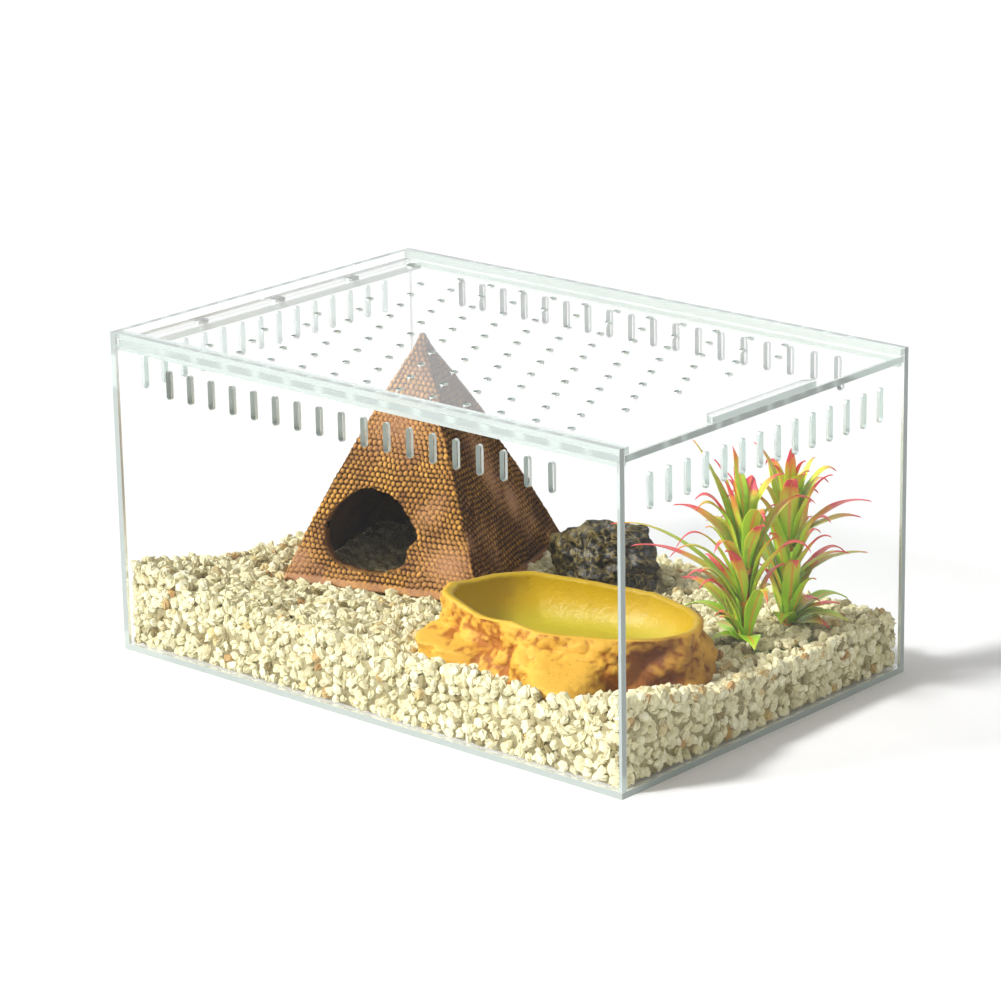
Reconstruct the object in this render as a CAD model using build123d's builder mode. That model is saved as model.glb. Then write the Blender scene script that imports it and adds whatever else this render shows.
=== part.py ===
from build123d import *
from math import cos, exp, radians, sin
import os

os.makedirs("parts", exist_ok=True)

# Sheet-built box, long axis along X, front towards -Y, opening end at +X
length = 300.0
width = 200.0
wall_height = 149.6
sheet = 3.0
base_thickness = 3.0

# Sliding lid and its running gaps
lid_thickness = 3.0
lid_play = 0.4
lid_side_gap = 0.4
lid_end_gap = 0.3

# Square strips glued inside the top of both long walls
upper_rail_height = 3.0
upper_rail_width = 3.0
lower_rail_height = 2.0
lower_rail_width = 3.0

# Air holes in the lid, in staggered rows
air_hole = 3.5
hole_pitch = 19.45
row_pitch = 17.65
holes_per_row = 12
row_pairs = 5
probe_hole = 7.0
probe_from_left = 16.3
probe_from_rear = 13.8

# Upright air slots in the walls
slot_width = 3.0
long_slot_height = 13.5
long_slot_pitch = 13.3
long_slot_count = 18
long_slot_drop = 18.9
short_slot_height = 16.0
short_slot_pitch = 12.3
short_slot_count = 14
short_slot_drop = 22.3

# Finger strip on the lid
pull_width = 5.7
pull_length = 72.0
pull_height = 3.0
pull_offset = -3.4
pull_corner = 5.0

# Closing magnets, one row in the lid and one in the ledge below it
ledge_width = 11.0
ledge_thickness = 3.0
magnet_diameter = 6.6
magnet_pitch = 50.6
magnet_count = 3
glue_gap = 0.1

# Gravel bed, level at the back and banked up against the front wall
bed_level = 27.0
bed_bank = 8.0
bed_bank_from = 0.0
left_mound = 8.0
left_mound_reach = 36.0
right_mound = 8.5
right_mound_reach = 24.0
mound_depth = 52.0
bed_gap = 0.3
ornament_gap = 0.4

# Larger stones that stand proud of the gravel, turned each its own way
stone_length = 7.4
stone_width = 5.8
stone_height = 4.6
stone_pitch = 10.5
stone_margin = 5.5
stone_tilt = 12.0
stone_spin = 37.0

# Hollow pyramid hide, turned on the gravel
hide_x = -74.3
hide_y = 26.9
hide_turn = 17.36
hide_foot = 26.0
hide_side = 102.2
hide_height = 109.4
hide_tip = 5.0
hide_wall = 4.5
hide_course = 3.4
hide_step = 0.5
hide_band = 3.0

# Resin dish
dish_x = 74.0
dish_y = -38.0
dish_foot = 26.5
dish_rim = 51.0
dish_tilt = 0.045
dish_floor = 7.0
dish_rim_share = 0.9
dish_floor_share = 0.62
cave_radius = 9.0

dish_reach = 72.0
dish_depth = 63.0
cave_from_middle = 60.0
cave_forward = 2.0

# Dark rock
rock_x = 15.0
rock_y = 54.0
rock_foot = 26.0
rock_height = 33.0
rock_reach = 32.0

# Plastic plant, two stems in one foot
plant_from_right = 34.5
plant_from_rear = 59.0
plant_reach = 34.0
stem_spread = 15.0
plant_foot_radius = 20.0
plant_foot_height = 5.0
plant_foot_top = 26.2
stem_radius = 1.4
stem_height = 60.0
collar_radius = 2.8
collar_height = 4.0
collar_gap = 0.1
leaf_thickness = 0.9

# Heights and faces that follow from the sizes above
wall_top = base_thickness + wall_height
half_length = length / 2
half_width = width / 2
inner_half_width = half_width - sheet
inner_left = sheet - half_length
plant_x = half_length - plant_from_right
plant_y = half_width - plant_from_rear
lid_seat = wall_top - upper_rail_height - lid_play - lid_thickness
lid_top = lid_seat + lid_thickness
rail_length = length - sheet
rail_middle = inner_left + rail_length / 2
lid_left = inner_left + lid_end_gap
lid_length = half_length - lid_left
lid_middle = lid_left + lid_length / 2
lid_width = 2 * (inner_half_width - lid_side_gap)
end_wall_height = lid_seat - base_thickness
ledge_middle = inner_left + ledge_width / 2
ledge_bottom = lid_seat - ledge_thickness
magnet_x = ledge_middle

# Base plate that everything stands on
with BuildPart() as base_plate:
    with BuildSketch() as base_outline:
        Rectangle(length, width)
    extrude(amount=base_thickness)

# Long walls, standing on the base and butting against the left end wall
with BuildPart() as front_wall:
    with BuildSketch(Plane.XZ.offset(inner_half_width)):
        with Locations((rail_middle, base_thickness + wall_height / 2)):
            Rectangle(rail_length, wall_height)
        with Locations((0, wall_top - long_slot_drop)):
            with GridLocations(long_slot_pitch, 0, long_slot_count, 1):
                SlotOverall(long_slot_height, slot_width, rotation=90, mode=Mode.SUBTRACT)
    extrude(amount=sheet)

with BuildPart() as rear_wall:
    add(front_wall.part.mirror(Plane.XZ))

# Left end wall, full height and covering the ends of the long walls
with BuildPart() as left_end_wall:
    with BuildSketch(Plane.YZ.offset(-half_length)):
        with Locations((0, base_thickness + wall_height / 2)):
            Rectangle(width, wall_height)
        with Locations((0, wall_top - short_slot_drop)):
            with GridLocations(short_slot_pitch, 0, short_slot_count, 1):
                SlotOverall(short_slot_height, slot_width, rotation=90, mode=Mode.SUBTRACT)
    extrude(amount=sheet)

# Right end wall, between the long walls and low enough for the lid to pass over it
with BuildPart() as right_end_wall:
    with BuildSketch(Plane.YZ.offset(half_length - sheet)):
        with Locations((0, base_thickness + end_wall_height / 2)):
            Rectangle(2 * inner_half_width, end_wall_height)
        with Locations((0, wall_top - short_slot_drop)):
            with GridLocations(short_slot_pitch, 0, short_slot_count, 1):
                SlotOverall(short_slot_height, slot_width, rotation=90, mode=Mode.SUBTRACT)
    extrude(amount=sheet)

# Upper rails keep the lid down, flush with the tops of the long walls
with BuildPart() as front_upper_rail:
    with BuildSketch(Plane.XY.offset(wall_top)):
        with Locations((rail_middle, upper_rail_width / 2 - inner_half_width)):
            Rectangle(rail_length, upper_rail_width)
    extrude(amount=-upper_rail_height)

with BuildPart() as rear_upper_rail:
    add(front_upper_rail.part.mirror(Plane.XZ))

# Lower rails carry the lid and stop at the right end wall
with BuildPart() as front_lower_rail:
    with BuildSketch(Plane.XY.offset(lid_seat)):
        with Locations((rail_middle - sheet / 2, lower_rail_width / 2 - inner_half_width)):
            Rectangle(rail_length - sheet, lower_rail_width)
    extrude(amount=-lower_rail_height)

with BuildPart() as rear_lower_rail:
    add(front_lower_rail.part.mirror(Plane.XZ))

# Ledge across the left end, under the lid, bored for its magnets
with BuildPart() as end_ledge:
    with BuildSketch(Plane.XY.offset(ledge_bottom)):
        with Locations((ledge_middle, 0)):
            Rectangle(ledge_width, 2 * (inner_half_width - lower_rail_width))
        with Locations((magnet_x, 0)):
            with GridLocations(0, magnet_pitch, 1, magnet_count):
                Circle(magnet_diameter / 2 + glue_gap, mode=Mode.SUBTRACT)
    extrude(amount=ledge_thickness)

with BuildPart() as ledge_magnets:
    with BuildSketch(Plane.XY.offset(ledge_bottom)):
        with Locations((magnet_x, 0)):
            with GridLocations(0, magnet_pitch, 1, magnet_count):
                Circle(magnet_diameter / 2)
    extrude(amount=ledge_thickness)

# Lid sheet with staggered air holes, a probe hole and three magnet seats
with BuildPart() as lid_sheet:
    with BuildSketch(Plane.XY.offset(lid_seat)):
        with Locations((lid_middle, 0)):
            Rectangle(lid_length, lid_width)
        with Locations((0, -row_pitch / 2)):
            with GridLocations(hole_pitch, 2 * row_pitch, holes_per_row, row_pairs):
                Circle(air_hole / 2, mode=Mode.SUBTRACT)
        with Locations((0, row_pitch / 2)):
            with GridLocations(hole_pitch, 2 * row_pitch, holes_per_row - 1, row_pairs):
                Circle(air_hole / 2, mode=Mode.SUBTRACT)
        with Locations((probe_from_left - half_length, half_width - probe_from_rear)):
            Circle(probe_hole / 2, mode=Mode.SUBTRACT)
        with Locations((magnet_x, 0)):
            with GridLocations(0, magnet_pitch, 1, magnet_count):
                Circle(magnet_diameter / 2 + glue_gap, mode=Mode.SUBTRACT)
    extrude(amount=lid_thickness)

with BuildPart() as lid_magnets:
    with BuildSketch(Plane.XY.offset(lid_seat)):
        with Locations((magnet_x, 0)):
            with GridLocations(0, magnet_pitch, 1, magnet_count):
                Circle(magnet_diameter / 2)
    extrude(amount=lid_thickness)

# Finger strip glued along the open edge of the lid, inner corners rounded
with BuildPart() as lid_pull:
    with BuildSketch(Plane.XY.offset(lid_top)):
        with Locations((half_length - pull_width / 2, pull_offset)):
            pull_outline = Rectangle(pull_width, pull_length)
        fillet(pull_outline.vertices().group_by(Axis.X)[0], pull_corner)
    extrude(amount=pull_height)

# Outlines that the ornaments and their seats in the gravel share
hide_plane = Plane((hide_x, hide_y, hide_foot), (cos(radians(hide_turn)), sin(radians(hide_turn)), 0))
dish_plane = Plane((dish_x, dish_y, dish_foot))
dish_rim_plane = Plane((dish_x, dish_y, dish_rim), (1, 0, -dish_tilt), (dish_tilt, 0, 1))

with BuildSketch() as dish_base:
    with BuildLine():
        Spline(
            (-52, -41), (-26, -47), (0, -48), (26, -52), (42, -50), (45, -34), (54, -13),
            (58, 10), (50, 32), (20, 45), (-22, 45), (-52, 30), (-66, 2), (-64, -24),
            periodic=True,
        )
    make_face()

with BuildSketch() as dish_mouth:
    with BuildLine():
        Spline(
            (-55, -26), (-40, -30), (-18, -34), (6, -34), (24, -25), (42, -13), (52, 2),
            (53, 18), (40, 32), (10, 39), (-19, 32), (-48, 20), (-59, -2), (-60, -18),
            periodic=True,
        )
    make_face()

with BuildSketch() as rock_outline:
    with BuildLine():
        Polyline((-30, -2), (-17, -17), (6, -20), (27, -12), (31, 5), (14, 18), (-14, 16), close=True)
    make_face()


def bed_height(x, y):
    """Gravel height: a level bed, a bank rising to the front wall and two corner mounds."""
    rise = max(0.0, (bed_bank_from - y) / (bed_bank_from + inner_half_width))
    near_front = exp(-(((y + inner_half_width) / mound_depth) ** 2))
    left = left_mound * exp(-(((x + half_length) / left_mound_reach) ** 2))
    right = right_mound * exp(-(((x - half_length) / right_mound_reach) ** 2))
    return bed_level + bed_bank * rise**2 + (left + right) * near_front


def open_gravel(x, y):
    """True where a stone lies clear of the walls and of everything that stands on the gravel."""
    across = (x - hide_x) * cos(radians(hide_turn)) + (y - hide_y) * sin(radians(hide_turn))
    along = (y - hide_y) * cos(radians(hide_turn)) - (x - hide_x) * sin(radians(hide_turn))
    off_hide = max(abs(across), abs(along)) > hide_side / 2 + stone_margin
    dish_share = ((x - dish_x) / (dish_reach + stone_margin)) ** 2
    dish_share += ((y - dish_y) / (dish_depth + stone_margin)) ** 2
    off_rock = (x - rock_x) ** 2 + (y - rock_y) ** 2 > (rock_reach + stone_margin) ** 2
    off_plant = (x - plant_x) ** 2 + (y - plant_y) ** 2 > (plant_reach + stone_margin) ** 2
    off_walls = abs(x) < bed_end - stone_margin and abs(y) < bed_side - stone_margin
    return off_hide and dish_share > 1 and off_rock and off_plant and off_walls


dish_seat_share = 1 + ornament_gap / (dish_base.sketch.bounding_box().size.Y / 2)
bed_end = half_length - sheet - bed_gap
bed_side = inner_half_width - bed_gap
bed_stations = [
    -bed_end,
    left_mound_reach / 2 - bed_end,
    left_mound_reach * 1.5 - bed_end,
    0,
    bed_end - right_mound_reach * 1.5,
    bed_end - right_mound_reach / 2,
    bed_end,
]
stone_rows = int(bed_side / stone_pitch)
stone_columns = int(bed_end / stone_pitch)
stone_places = [
    (stone_pitch * (column + 0.5 * (row % 2)), stone_pitch * row)
    for row in range(-stone_rows, stone_rows + 1)
    for column in range(-stone_columns, stone_columns + 1)
]
stones = [
    Location(
        (x, y, bed_height(x, y)),
        (stone_tilt * sin(x), stone_tilt * cos(x + y), stone_spin * (x + 2 * y)),
    )
    for x, y in stone_places
    if open_gravel(x, y)
]

# Gravel bed, with a shallow seat pressed in it by each ornament and its largest stones on top
with BuildPart() as gravel_bed:
    for station in bed_stations:
        with BuildSketch(Plane.YZ.offset(station)):
            with BuildLine():
                crest = [
                    (bed_side * share, bed_height(station, bed_side * share))
                    for share in (-1, -0.75, -0.5, -0.25, 0)
                ]
                Spline(*crest, tangents=[(1, -0.2), (1, 0)], tangent_scalars=(1, 1))
                Polyline(
                    crest[-1],
                    (bed_side, bed_level),
                    (bed_side, base_thickness),
                    (-bed_side, base_thickness),
                    crest[0],
                )
            make_face()
    loft()
    with BuildSketch(hide_plane):
        Rectangle(hide_side + 2 * ornament_gap, hide_side + 2 * ornament_gap)
    extrude(amount=wall_height, mode=Mode.SUBTRACT)
    with BuildSketch(dish_plane):
        add(scale(dish_base.sketch, dish_seat_share, mode=Mode.PRIVATE))
    extrude(amount=wall_height, mode=Mode.SUBTRACT)
    with BuildSketch(Plane((rock_x, rock_y, rock_foot))):
        add(rock_outline.sketch)
        offset(amount=ornament_gap, kind=Kind.INTERSECTION)
    extrude(amount=wall_height, mode=Mode.SUBTRACT)
    with BuildSketch(Plane((plant_x, plant_y, plant_foot_top - plant_foot_height))):
        Circle(plant_foot_radius + ornament_gap)
    extrude(amount=wall_height, mode=Mode.SUBTRACT)
    with Locations(*stones):
        Box(stone_length, stone_width, stone_height)

# Hide: stepped courses up to a blunt tip, hollow and open below, with a worn arch as door
hide_lean = hide_side / 2 / hide_height
hide_courses = int((hide_height - hide_band - hide_tip) / hide_course)

with BuildPart() as hide_shell:
    with BuildSketch(hide_plane):
        Rectangle(hide_side, hide_side)
    extrude(amount=hide_band)
    for course in range(hide_courses):
        rise = hide_band + course * hide_course
        foot_side = hide_side - 2 * hide_lean * rise
        with BuildSketch(hide_plane.offset(rise)):
            Rectangle(foot_side, foot_side)
        with BuildSketch(hide_plane.offset(rise + hide_course)):
            head_side = foot_side - 2 * (hide_lean * hide_course) + 2 * hide_step
            Rectangle(head_side, head_side)
        loft()
    cap_rise = hide_band + hide_courses * hide_course
    cap_side = hide_side - 2 * hide_lean * cap_rise
    with BuildSketch(hide_plane.offset(cap_rise)):
        Rectangle(cap_side, cap_side)
    with BuildSketch(hide_plane.offset(hide_height)):
        RectangleRounded(hide_tip * 0.7, hide_tip * 0.7, hide_tip * 0.2)
    loft()
    inner_side = hide_side - 2 * hide_wall
    inner_height = hide_height - hide_wall / hide_lean
    with BuildSketch(hide_plane):
        Rectangle(inner_side, inner_side)
    with BuildSketch(hide_plane.offset(inner_height - hide_tip)):
        Rectangle(2 * hide_lean * hide_tip, 2 * hide_lean * hide_tip)
    loft(mode=Mode.SUBTRACT)
    with BuildSketch(Plane(hide_plane.location * Location((0, -hide_side / 2, 0), (90, 0, 0)))):
        with BuildLine():
            Spline(
                (-26, 12), (-32, 24), (-27, 36), (-14, 44), (1, 41), (11, 32),
                (15, 26), (11, 20), (10, 13), (-3, 8), (-16, 9),
                periodic=True,
            )
        make_face()
    extrude(amount=-hide_side / 4, mode=Mode.SUBTRACT)

# Dish: a rough outer body lofted to a tilted rim, with a smooth bowl sunk in it
with BuildPart() as feeding_dish:
    with BuildSketch(dish_plane):
        add(dish_base.sketch)
    with BuildSketch(dish_rim_plane):
        add(dish_mouth.sketch)
    loft()
    with BuildSketch(dish_plane.offset(dish_floor)):
        add(scale(dish_mouth.sketch, dish_floor_share, mode=Mode.PRIVATE))
    with BuildSketch(dish_rim_plane.offset(0.2)):
        add(scale(dish_mouth.sketch, dish_rim_share, mode=Mode.PRIVATE))
    loft(mode=Mode.SUBTRACT)
    with Locations((dish_x + cave_from_middle, dish_y - cave_forward, dish_foot)):
        Sphere(cave_radius, mode=Mode.SUBTRACT)

# Dark broken rock
with BuildPart() as accent_rock:
    with BuildSketch(Plane((rock_x, rock_y, rock_foot))):
        add(rock_outline.sketch)
    with BuildSketch(Plane((rock_x, rock_y, rock_foot + rock_height * 0.55))):
        add(scale(rock_outline.sketch, 0.92, mode=Mode.PRIVATE))
    with BuildSketch(Plane((rock_x, rock_y, rock_foot + rock_height))):
        add(scale(rock_outline.sketch, 0.45, mode=Mode.PRIVATE))
    loft(ruled=True)

# Plant foot, buried to its top face, with a socket for each stem
front_stem_at = (plant_x, plant_y - stem_spread)
rear_stem_at = (plant_x, plant_y + stem_spread)
stem_foot = plant_foot_top - plant_foot_height / 2

with BuildPart() as plant_foot:
    with BuildSketch(Plane((plant_x, plant_y, plant_foot_top))):
        Circle(plant_foot_radius)
    extrude(amount=-plant_foot_height)
    with BuildSketch(Plane.XY.offset(plant_foot_top)):
        with Locations(front_stem_at, rear_stem_at):
            Circle(stem_radius + collar_gap)
    extrude(amount=-plant_foot_height / 2, mode=Mode.SUBTRACT)

with BuildPart() as front_stem:
    with BuildSketch(Plane.XY.offset(stem_foot)):
        with Locations(front_stem_at):
            Circle(stem_radius)
    extrude(amount=stem_height)

with BuildPart() as rear_stem:
    with BuildSketch(Plane.XY.offset(stem_foot)):
        with Locations(rear_stem_at):
            Circle(stem_radius)
    extrude(amount=stem_height)


def blade(stem, start, heading, reach, rise, width_at_middle):
    """One arched leaf that leaves its collar in a heading, out by reach and up by rise."""
    out = (cos(radians(heading)), sin(radians(heading)), 0)
    across = (out[1], -out[0], 0)
    chord = (reach**2 + rise**2) ** 0.5
    drop = Vector(rise, -reach) * (leaf_thickness / chord)
    start_x = (stem_radius + collar_radius) / 2
    ridge = [
        Vector(start_x, 0),
        Vector(reach * 0.3, rise * 0.45 + chord * 0.06),
        Vector(reach * 0.68, rise * 0.85 + chord * 0.07),
        Vector(reach, rise),
    ]
    with BuildPart() as leaf:
        with BuildSketch(Plane((*stem, start), out, across)):
            with BuildLine():
                Polyline(*ridge, *[point + drop for point in reversed(ridge)], close=True)
            make_face()
        extrude(amount=width_at_middle, both=True)
        with BuildSketch(Plane((*stem, 0), out)):
            with BuildLine():
                Polyline(
                    (start_x - leaf_thickness, -leaf_thickness),
                    (reach * 0.45, -width_at_middle / 2),
                    (reach * 0.7, -width_at_middle * 0.42),
                    (reach + leaf_thickness, 0),
                    (reach * 0.7, width_at_middle * 0.42),
                    (reach * 0.45, width_at_middle / 2),
                    (start_x - leaf_thickness, leaf_thickness),
                    close=True,
                )
            make_face()
        extrude(amount=wall_top, mode=Mode.INTERSECT)
    return leaf.part


def collar(stem, start):
    """The ring pressed on a stem that carries one spray of leaves."""
    with BuildPart() as ring:
        with BuildSketch(Plane((*stem, start - collar_height / 2))):
            Circle(collar_radius)
            Circle(stem_radius + collar_gap, mode=Mode.SUBTRACT)
        extrude(amount=collar_height)
    return ring.part


foot_level = plant_foot_top + collar_height / 2
front_low = [
    collar(front_stem_at, foot_level),
    blade(front_stem_at, foot_level, 172, 20, 4, 13),
    blade(front_stem_at, foot_level, 188, 34, 24, 8),
    blade(front_stem_at, foot_level, 166, 32, 32, 9),
    blade(front_stem_at, foot_level, 255, 15, 14, 7),
]
front_mid_level = foot_level + stem_height * 0.3
front_mid = [
    collar(front_stem_at, front_mid_level),
    blade(front_stem_at, front_mid_level, 202, 53, 22, 5),
    blade(front_stem_at, front_mid_level, 204, 60, 32, 3.5),
    blade(front_stem_at, front_mid_level, 150, 26, 34, 8),
    blade(front_stem_at, front_mid_level, 285, 22, 30, 6),
]
front_high_level = foot_level + stem_height * 0.55
front_high = [
    collar(front_stem_at, front_high_level),
    blade(front_stem_at, front_high_level, 200, 34, 27, 7),
    blade(front_stem_at, front_high_level, 198, 25, 58, 4.5),
    blade(front_stem_at, front_high_level, 190, 20, 46, 6),
    blade(front_stem_at, front_high_level, 330, 20, 26, 6),
]
front_top_level = stem_foot + stem_height - collar_height / 2
front_top = [
    collar(front_stem_at, front_top_level),
    blade(front_stem_at, front_top_level, 152, 13, 24, 6),
    blade(front_stem_at, front_top_level, 118, 12, 20, 9),
    blade(front_stem_at, front_top_level, 156, 12, 34, 5),
    blade(front_stem_at, front_top_level, 60, 18, 22, 5),
]
rear_low = [
    collar(rear_stem_at, foot_level),
    blade(rear_stem_at, foot_level, 10, 22, 2, 12),
    blade(rear_stem_at, foot_level, 32, 24, 10, 7),
    blade(rear_stem_at, foot_level, 350, 20, 26, 6),
    blade(rear_stem_at, foot_level, 150, 26, 26, 7),
]
rear_mid_level = foot_level + stem_height * 0.3
rear_mid = [
    collar(rear_stem_at, rear_mid_level),
    blade(rear_stem_at, rear_mid_level, 54, 38, 12, 6),
    blade(rear_stem_at, rear_mid_level, 32, 28, 16, 5),
    blade(rear_stem_at, rear_mid_level, 12, 22, 26, 6),
    blade(rear_stem_at, rear_mid_level, 190, 24, 24, 6),
]
rear_high_level = foot_level + stem_height * 0.6
rear_high = [
    collar(rear_stem_at, rear_high_level),
    blade(rear_stem_at, rear_high_level, 47, 38, 20, 6),
    blade(rear_stem_at, rear_high_level, 36, 33, 14, 8),
    blade(rear_stem_at, rear_high_level, 6, 24, 38, 6),
    blade(rear_stem_at, rear_high_level, 100, 20, 24, 6),
]
rear_top_level = stem_foot + stem_height - collar_height / 2
rear_top = [
    collar(rear_stem_at, rear_top_level),
    blade(rear_stem_at, rear_top_level, 316, 16, 34, 5),
    blade(rear_stem_at, rear_top_level, 340, 14, 20, 9),
    blade(rear_stem_at, rear_top_level, 200, 16, 30, 5),
]

with BuildPart() as front_low_leaves:
    add(front_low)

with BuildPart() as front_mid_leaves:
    add(front_mid)

with BuildPart() as front_high_leaves:
    add(front_high)

with BuildPart() as front_top_leaves:
    add(front_top)

with BuildPart() as rear_low_leaves:
    add(rear_low)

with BuildPart() as rear_mid_leaves:
    add(rear_mid)

with BuildPart() as rear_high_leaves:
    add(rear_high)

with BuildPart() as rear_top_leaves:
    add(rear_top)

# Labels and files, one per piece
pieces = {
    "base_plate": base_plate,
    "front_wall": front_wall,
    "rear_wall": rear_wall,
    "left_end_wall": left_end_wall,
    "right_end_wall": right_end_wall,
    "front_upper_rail": front_upper_rail,
    "rear_upper_rail": rear_upper_rail,
    "front_lower_rail": front_lower_rail,
    "rear_lower_rail": rear_lower_rail,
    "end_ledge": end_ledge,
    "ledge_magnets": ledge_magnets,
    "lid_sheet": lid_sheet,
    "lid_magnets": lid_magnets,
    "lid_pull": lid_pull,
    "gravel_bed": gravel_bed,
    "hide_shell": hide_shell,
    "feeding_dish": feeding_dish,
    "accent_rock": accent_rock,
    "plant_foot": plant_foot,
    "front_stem": front_stem,
    "rear_stem": rear_stem,
    "front_low_leaves": front_low_leaves,
    "front_mid_leaves": front_mid_leaves,
    "front_high_leaves": front_high_leaves,
    "front_top_leaves": front_top_leaves,
    "rear_low_leaves": rear_low_leaves,
    "rear_mid_leaves": rear_mid_leaves,
    "rear_high_leaves": rear_high_leaves,
    "rear_top_leaves": rear_top_leaves,
}
for label, piece in pieces.items():
    piece.part.label = label
    export_step(piece.part, f"parts/{label}.step")
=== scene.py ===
import math

import bmesh
import bpy
import numpy as np
from mathutils import Matrix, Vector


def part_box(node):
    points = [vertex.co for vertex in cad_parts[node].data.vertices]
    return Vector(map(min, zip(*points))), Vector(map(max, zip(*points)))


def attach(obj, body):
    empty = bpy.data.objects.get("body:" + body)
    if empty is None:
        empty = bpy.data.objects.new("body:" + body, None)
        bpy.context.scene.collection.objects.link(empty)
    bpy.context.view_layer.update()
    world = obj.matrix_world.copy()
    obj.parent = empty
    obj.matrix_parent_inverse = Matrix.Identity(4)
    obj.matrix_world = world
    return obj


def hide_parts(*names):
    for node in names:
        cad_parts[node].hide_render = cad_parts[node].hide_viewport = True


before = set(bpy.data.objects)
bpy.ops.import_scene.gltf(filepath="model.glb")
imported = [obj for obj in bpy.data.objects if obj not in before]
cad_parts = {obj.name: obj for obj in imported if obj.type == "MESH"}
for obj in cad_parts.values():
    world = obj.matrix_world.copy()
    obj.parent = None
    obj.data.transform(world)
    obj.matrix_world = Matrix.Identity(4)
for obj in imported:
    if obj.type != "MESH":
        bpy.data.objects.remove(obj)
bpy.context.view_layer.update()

bl_info = {
    "name": "Reptile breeding box",
    "version": (1, 0, 0),
    "blender": (4, 5, 0),
    "location": "View3D > Sidebar > Reptile box",
    "description": "Clear sheet-built breeding box with gravel, hide, dish, rock and plant",
    "category": "Add Mesh",
}

MM = 0.001

# Sizes shared with the solids, in millimetres
HALF_LENGTH = 150.0
BASE_TOP = 3.0
BED_LEVEL = 27.0
BED_END = 146.7
BED_SIDE = 96.7
HIDE_AT = np.array([-74.3, 26.9, 26.0])
HIDE_TURN = math.radians(17.36)
HIDE_SIDE = 102.2
HIDE_HEIGHT = 109.4
HIDE_WALL = 4.5
DISH_AT = np.array([74.0, -38.0, 26.5])
DISH_RIM = 24.5
DISH_FLOOR = 7.4
ROCK_AT = np.array([15.0, 54.0, 26.0])
PLANT_AT = np.array([115.5, 41.0])
STEM_SPREAD = 15.0
FOOT_TOP = 26.2
FOOT_RADIUS = 20.0
STEM_FOOT = 23.7
STEM_HEIGHT = 60.0

DISH_BASE = (
    (-52, -41), (-26, -47), (0, -48), (26, -52), (42, -50), (45, -34), (54, -13),
    (58, 10), (50, 32), (20, 45), (-22, 45), (-52, 30), (-66, 2), (-64, -24),
)
DISH_MOUTH = (
    (-55, -26), (-40, -30), (-18, -34), (6, -34), (24, -25), (42, -13), (52, 2),
    (53, 18), (40, 32), (10, 39), (-19, 32), (-48, 20), (-59, -2), (-60, -18),
)
DOOR = (
    (-26, 12), (-32, 24), (-27, 36), (-14, 44), (1, 41), (11, 32),
    (15, 26), (11, 20), (10, 13), (-3, 8), (-16, 9),
)
ROCK_OUTLINE = ((-30, -2), (-17, -17), (6, -20), (27, -12), (31, 5), (14, 18), (-14, 16))


# Mathematics of the surfaces


def smoothstep(s):
    """The cubic that eases from 0 to 1."""
    return s * s * (3 - 2 * s)


def noise(points, seed=0):
    """Smooth value noise from 0 to 1: random corner values of a unit lattice, eased between."""
    cell = np.floor(points).astype(np.int64)
    ease = smoothstep(points - cell)
    total = np.zeros(points.shape[:-1])
    for corner in np.ndindex(2, 2, 2):
        x, y, z = np.moveaxis(cell + np.array(corner), -1, 0)
        mix = x * 73856093 ^ y * 19349663 ^ z * 83492791 ^ seed * 2654435
        mix = (mix ^ (mix >> 13)) * 1274126177
        value = ((mix ^ (mix >> 16)) & 0xFFFFFF) / float(0xFFFFFF)
        total += value * np.where(np.array(corner) == 1, ease, 1 - ease).prod(axis=-1)
    return total


def layered_noise(points, seed=0, layers=4):
    """Sum of noise at doubling frequency and halving strength, from 0 to 1."""
    total = np.zeros(points.shape[:-1])
    for layer in range(layers):
        total += noise(points * 2**layer + 7.3 * layer, seed + layer) * 0.5 ** (layer + 1)
    return total / (1 - 0.5**layers)


def on_plane(flat):
    """Points of a plane given a third coordinate of 0, as the noise wants them."""
    return np.column_stack([flat, np.zeros(len(flat))])


def closed_curve(corners, t):
    """Closed curve through the corners at t from 0 to 1: a Catmull-Rom cubic on each span."""
    corners = np.array(corners, float)
    count = len(corners)
    place = (t % 1.0) * count
    first = np.floor(place).astype(int)
    s = (place - first)[..., None]
    a, b, c, d = (corners[(first + k) % count] for k in (-1, 0, 1, 2))
    square = (2 * a - 5 * b + 4 * c - d) * s**2
    return 0.5 * (2 * b + (c - a) * s + square + (3 * b - a - 3 * c + d) * s**3)


def outline_radius(curve, angle):
    """Distance from the origin to a closed curve in each direction, by interpolation on angle."""
    bearing = np.arctan2(curve[:, 1], curve[:, 0])
    order = np.argsort(bearing)
    return np.interp(angle, bearing[order], np.hypot(*curve[order].T), period=2 * math.pi)


def beyond_outline(x, y, middle, corners, samples, margin):
    """True where a point lies further out than a closed curve about a middle, and a margin."""
    curve = closed_curve(corners, np.linspace(0, 1, samples, endpoint=False))
    dx, dy = x - middle[0], y - middle[1]
    return np.hypot(dx, dy) > outline_radius(curve, np.arctan2(dy, dx)) + margin


def spun(flat, angle):
    """Points of a plane turned about its origin."""
    turn = np.array([[math.cos(angle), -math.sin(angle)], [math.sin(angle), math.cos(angle)]])
    return flat @ turn.T


def bed_height(x, y):
    """Gravel height: a level bed, a bank rising to the front wall and two corner mounds."""
    rise = np.maximum(0.0, -y / 97.0)
    near_front = np.exp(-(((y + 97.0) / 52.0) ** 2))
    left = 8.0 * np.exp(-(((x + HALF_LENGTH) / 36.0) ** 2))
    right = 8.5 * np.exp(-(((x - HALF_LENGTH) / 24.0) ** 2))
    return BED_LEVEL + 8.0 * rise**2 + (left + right) * near_front


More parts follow.
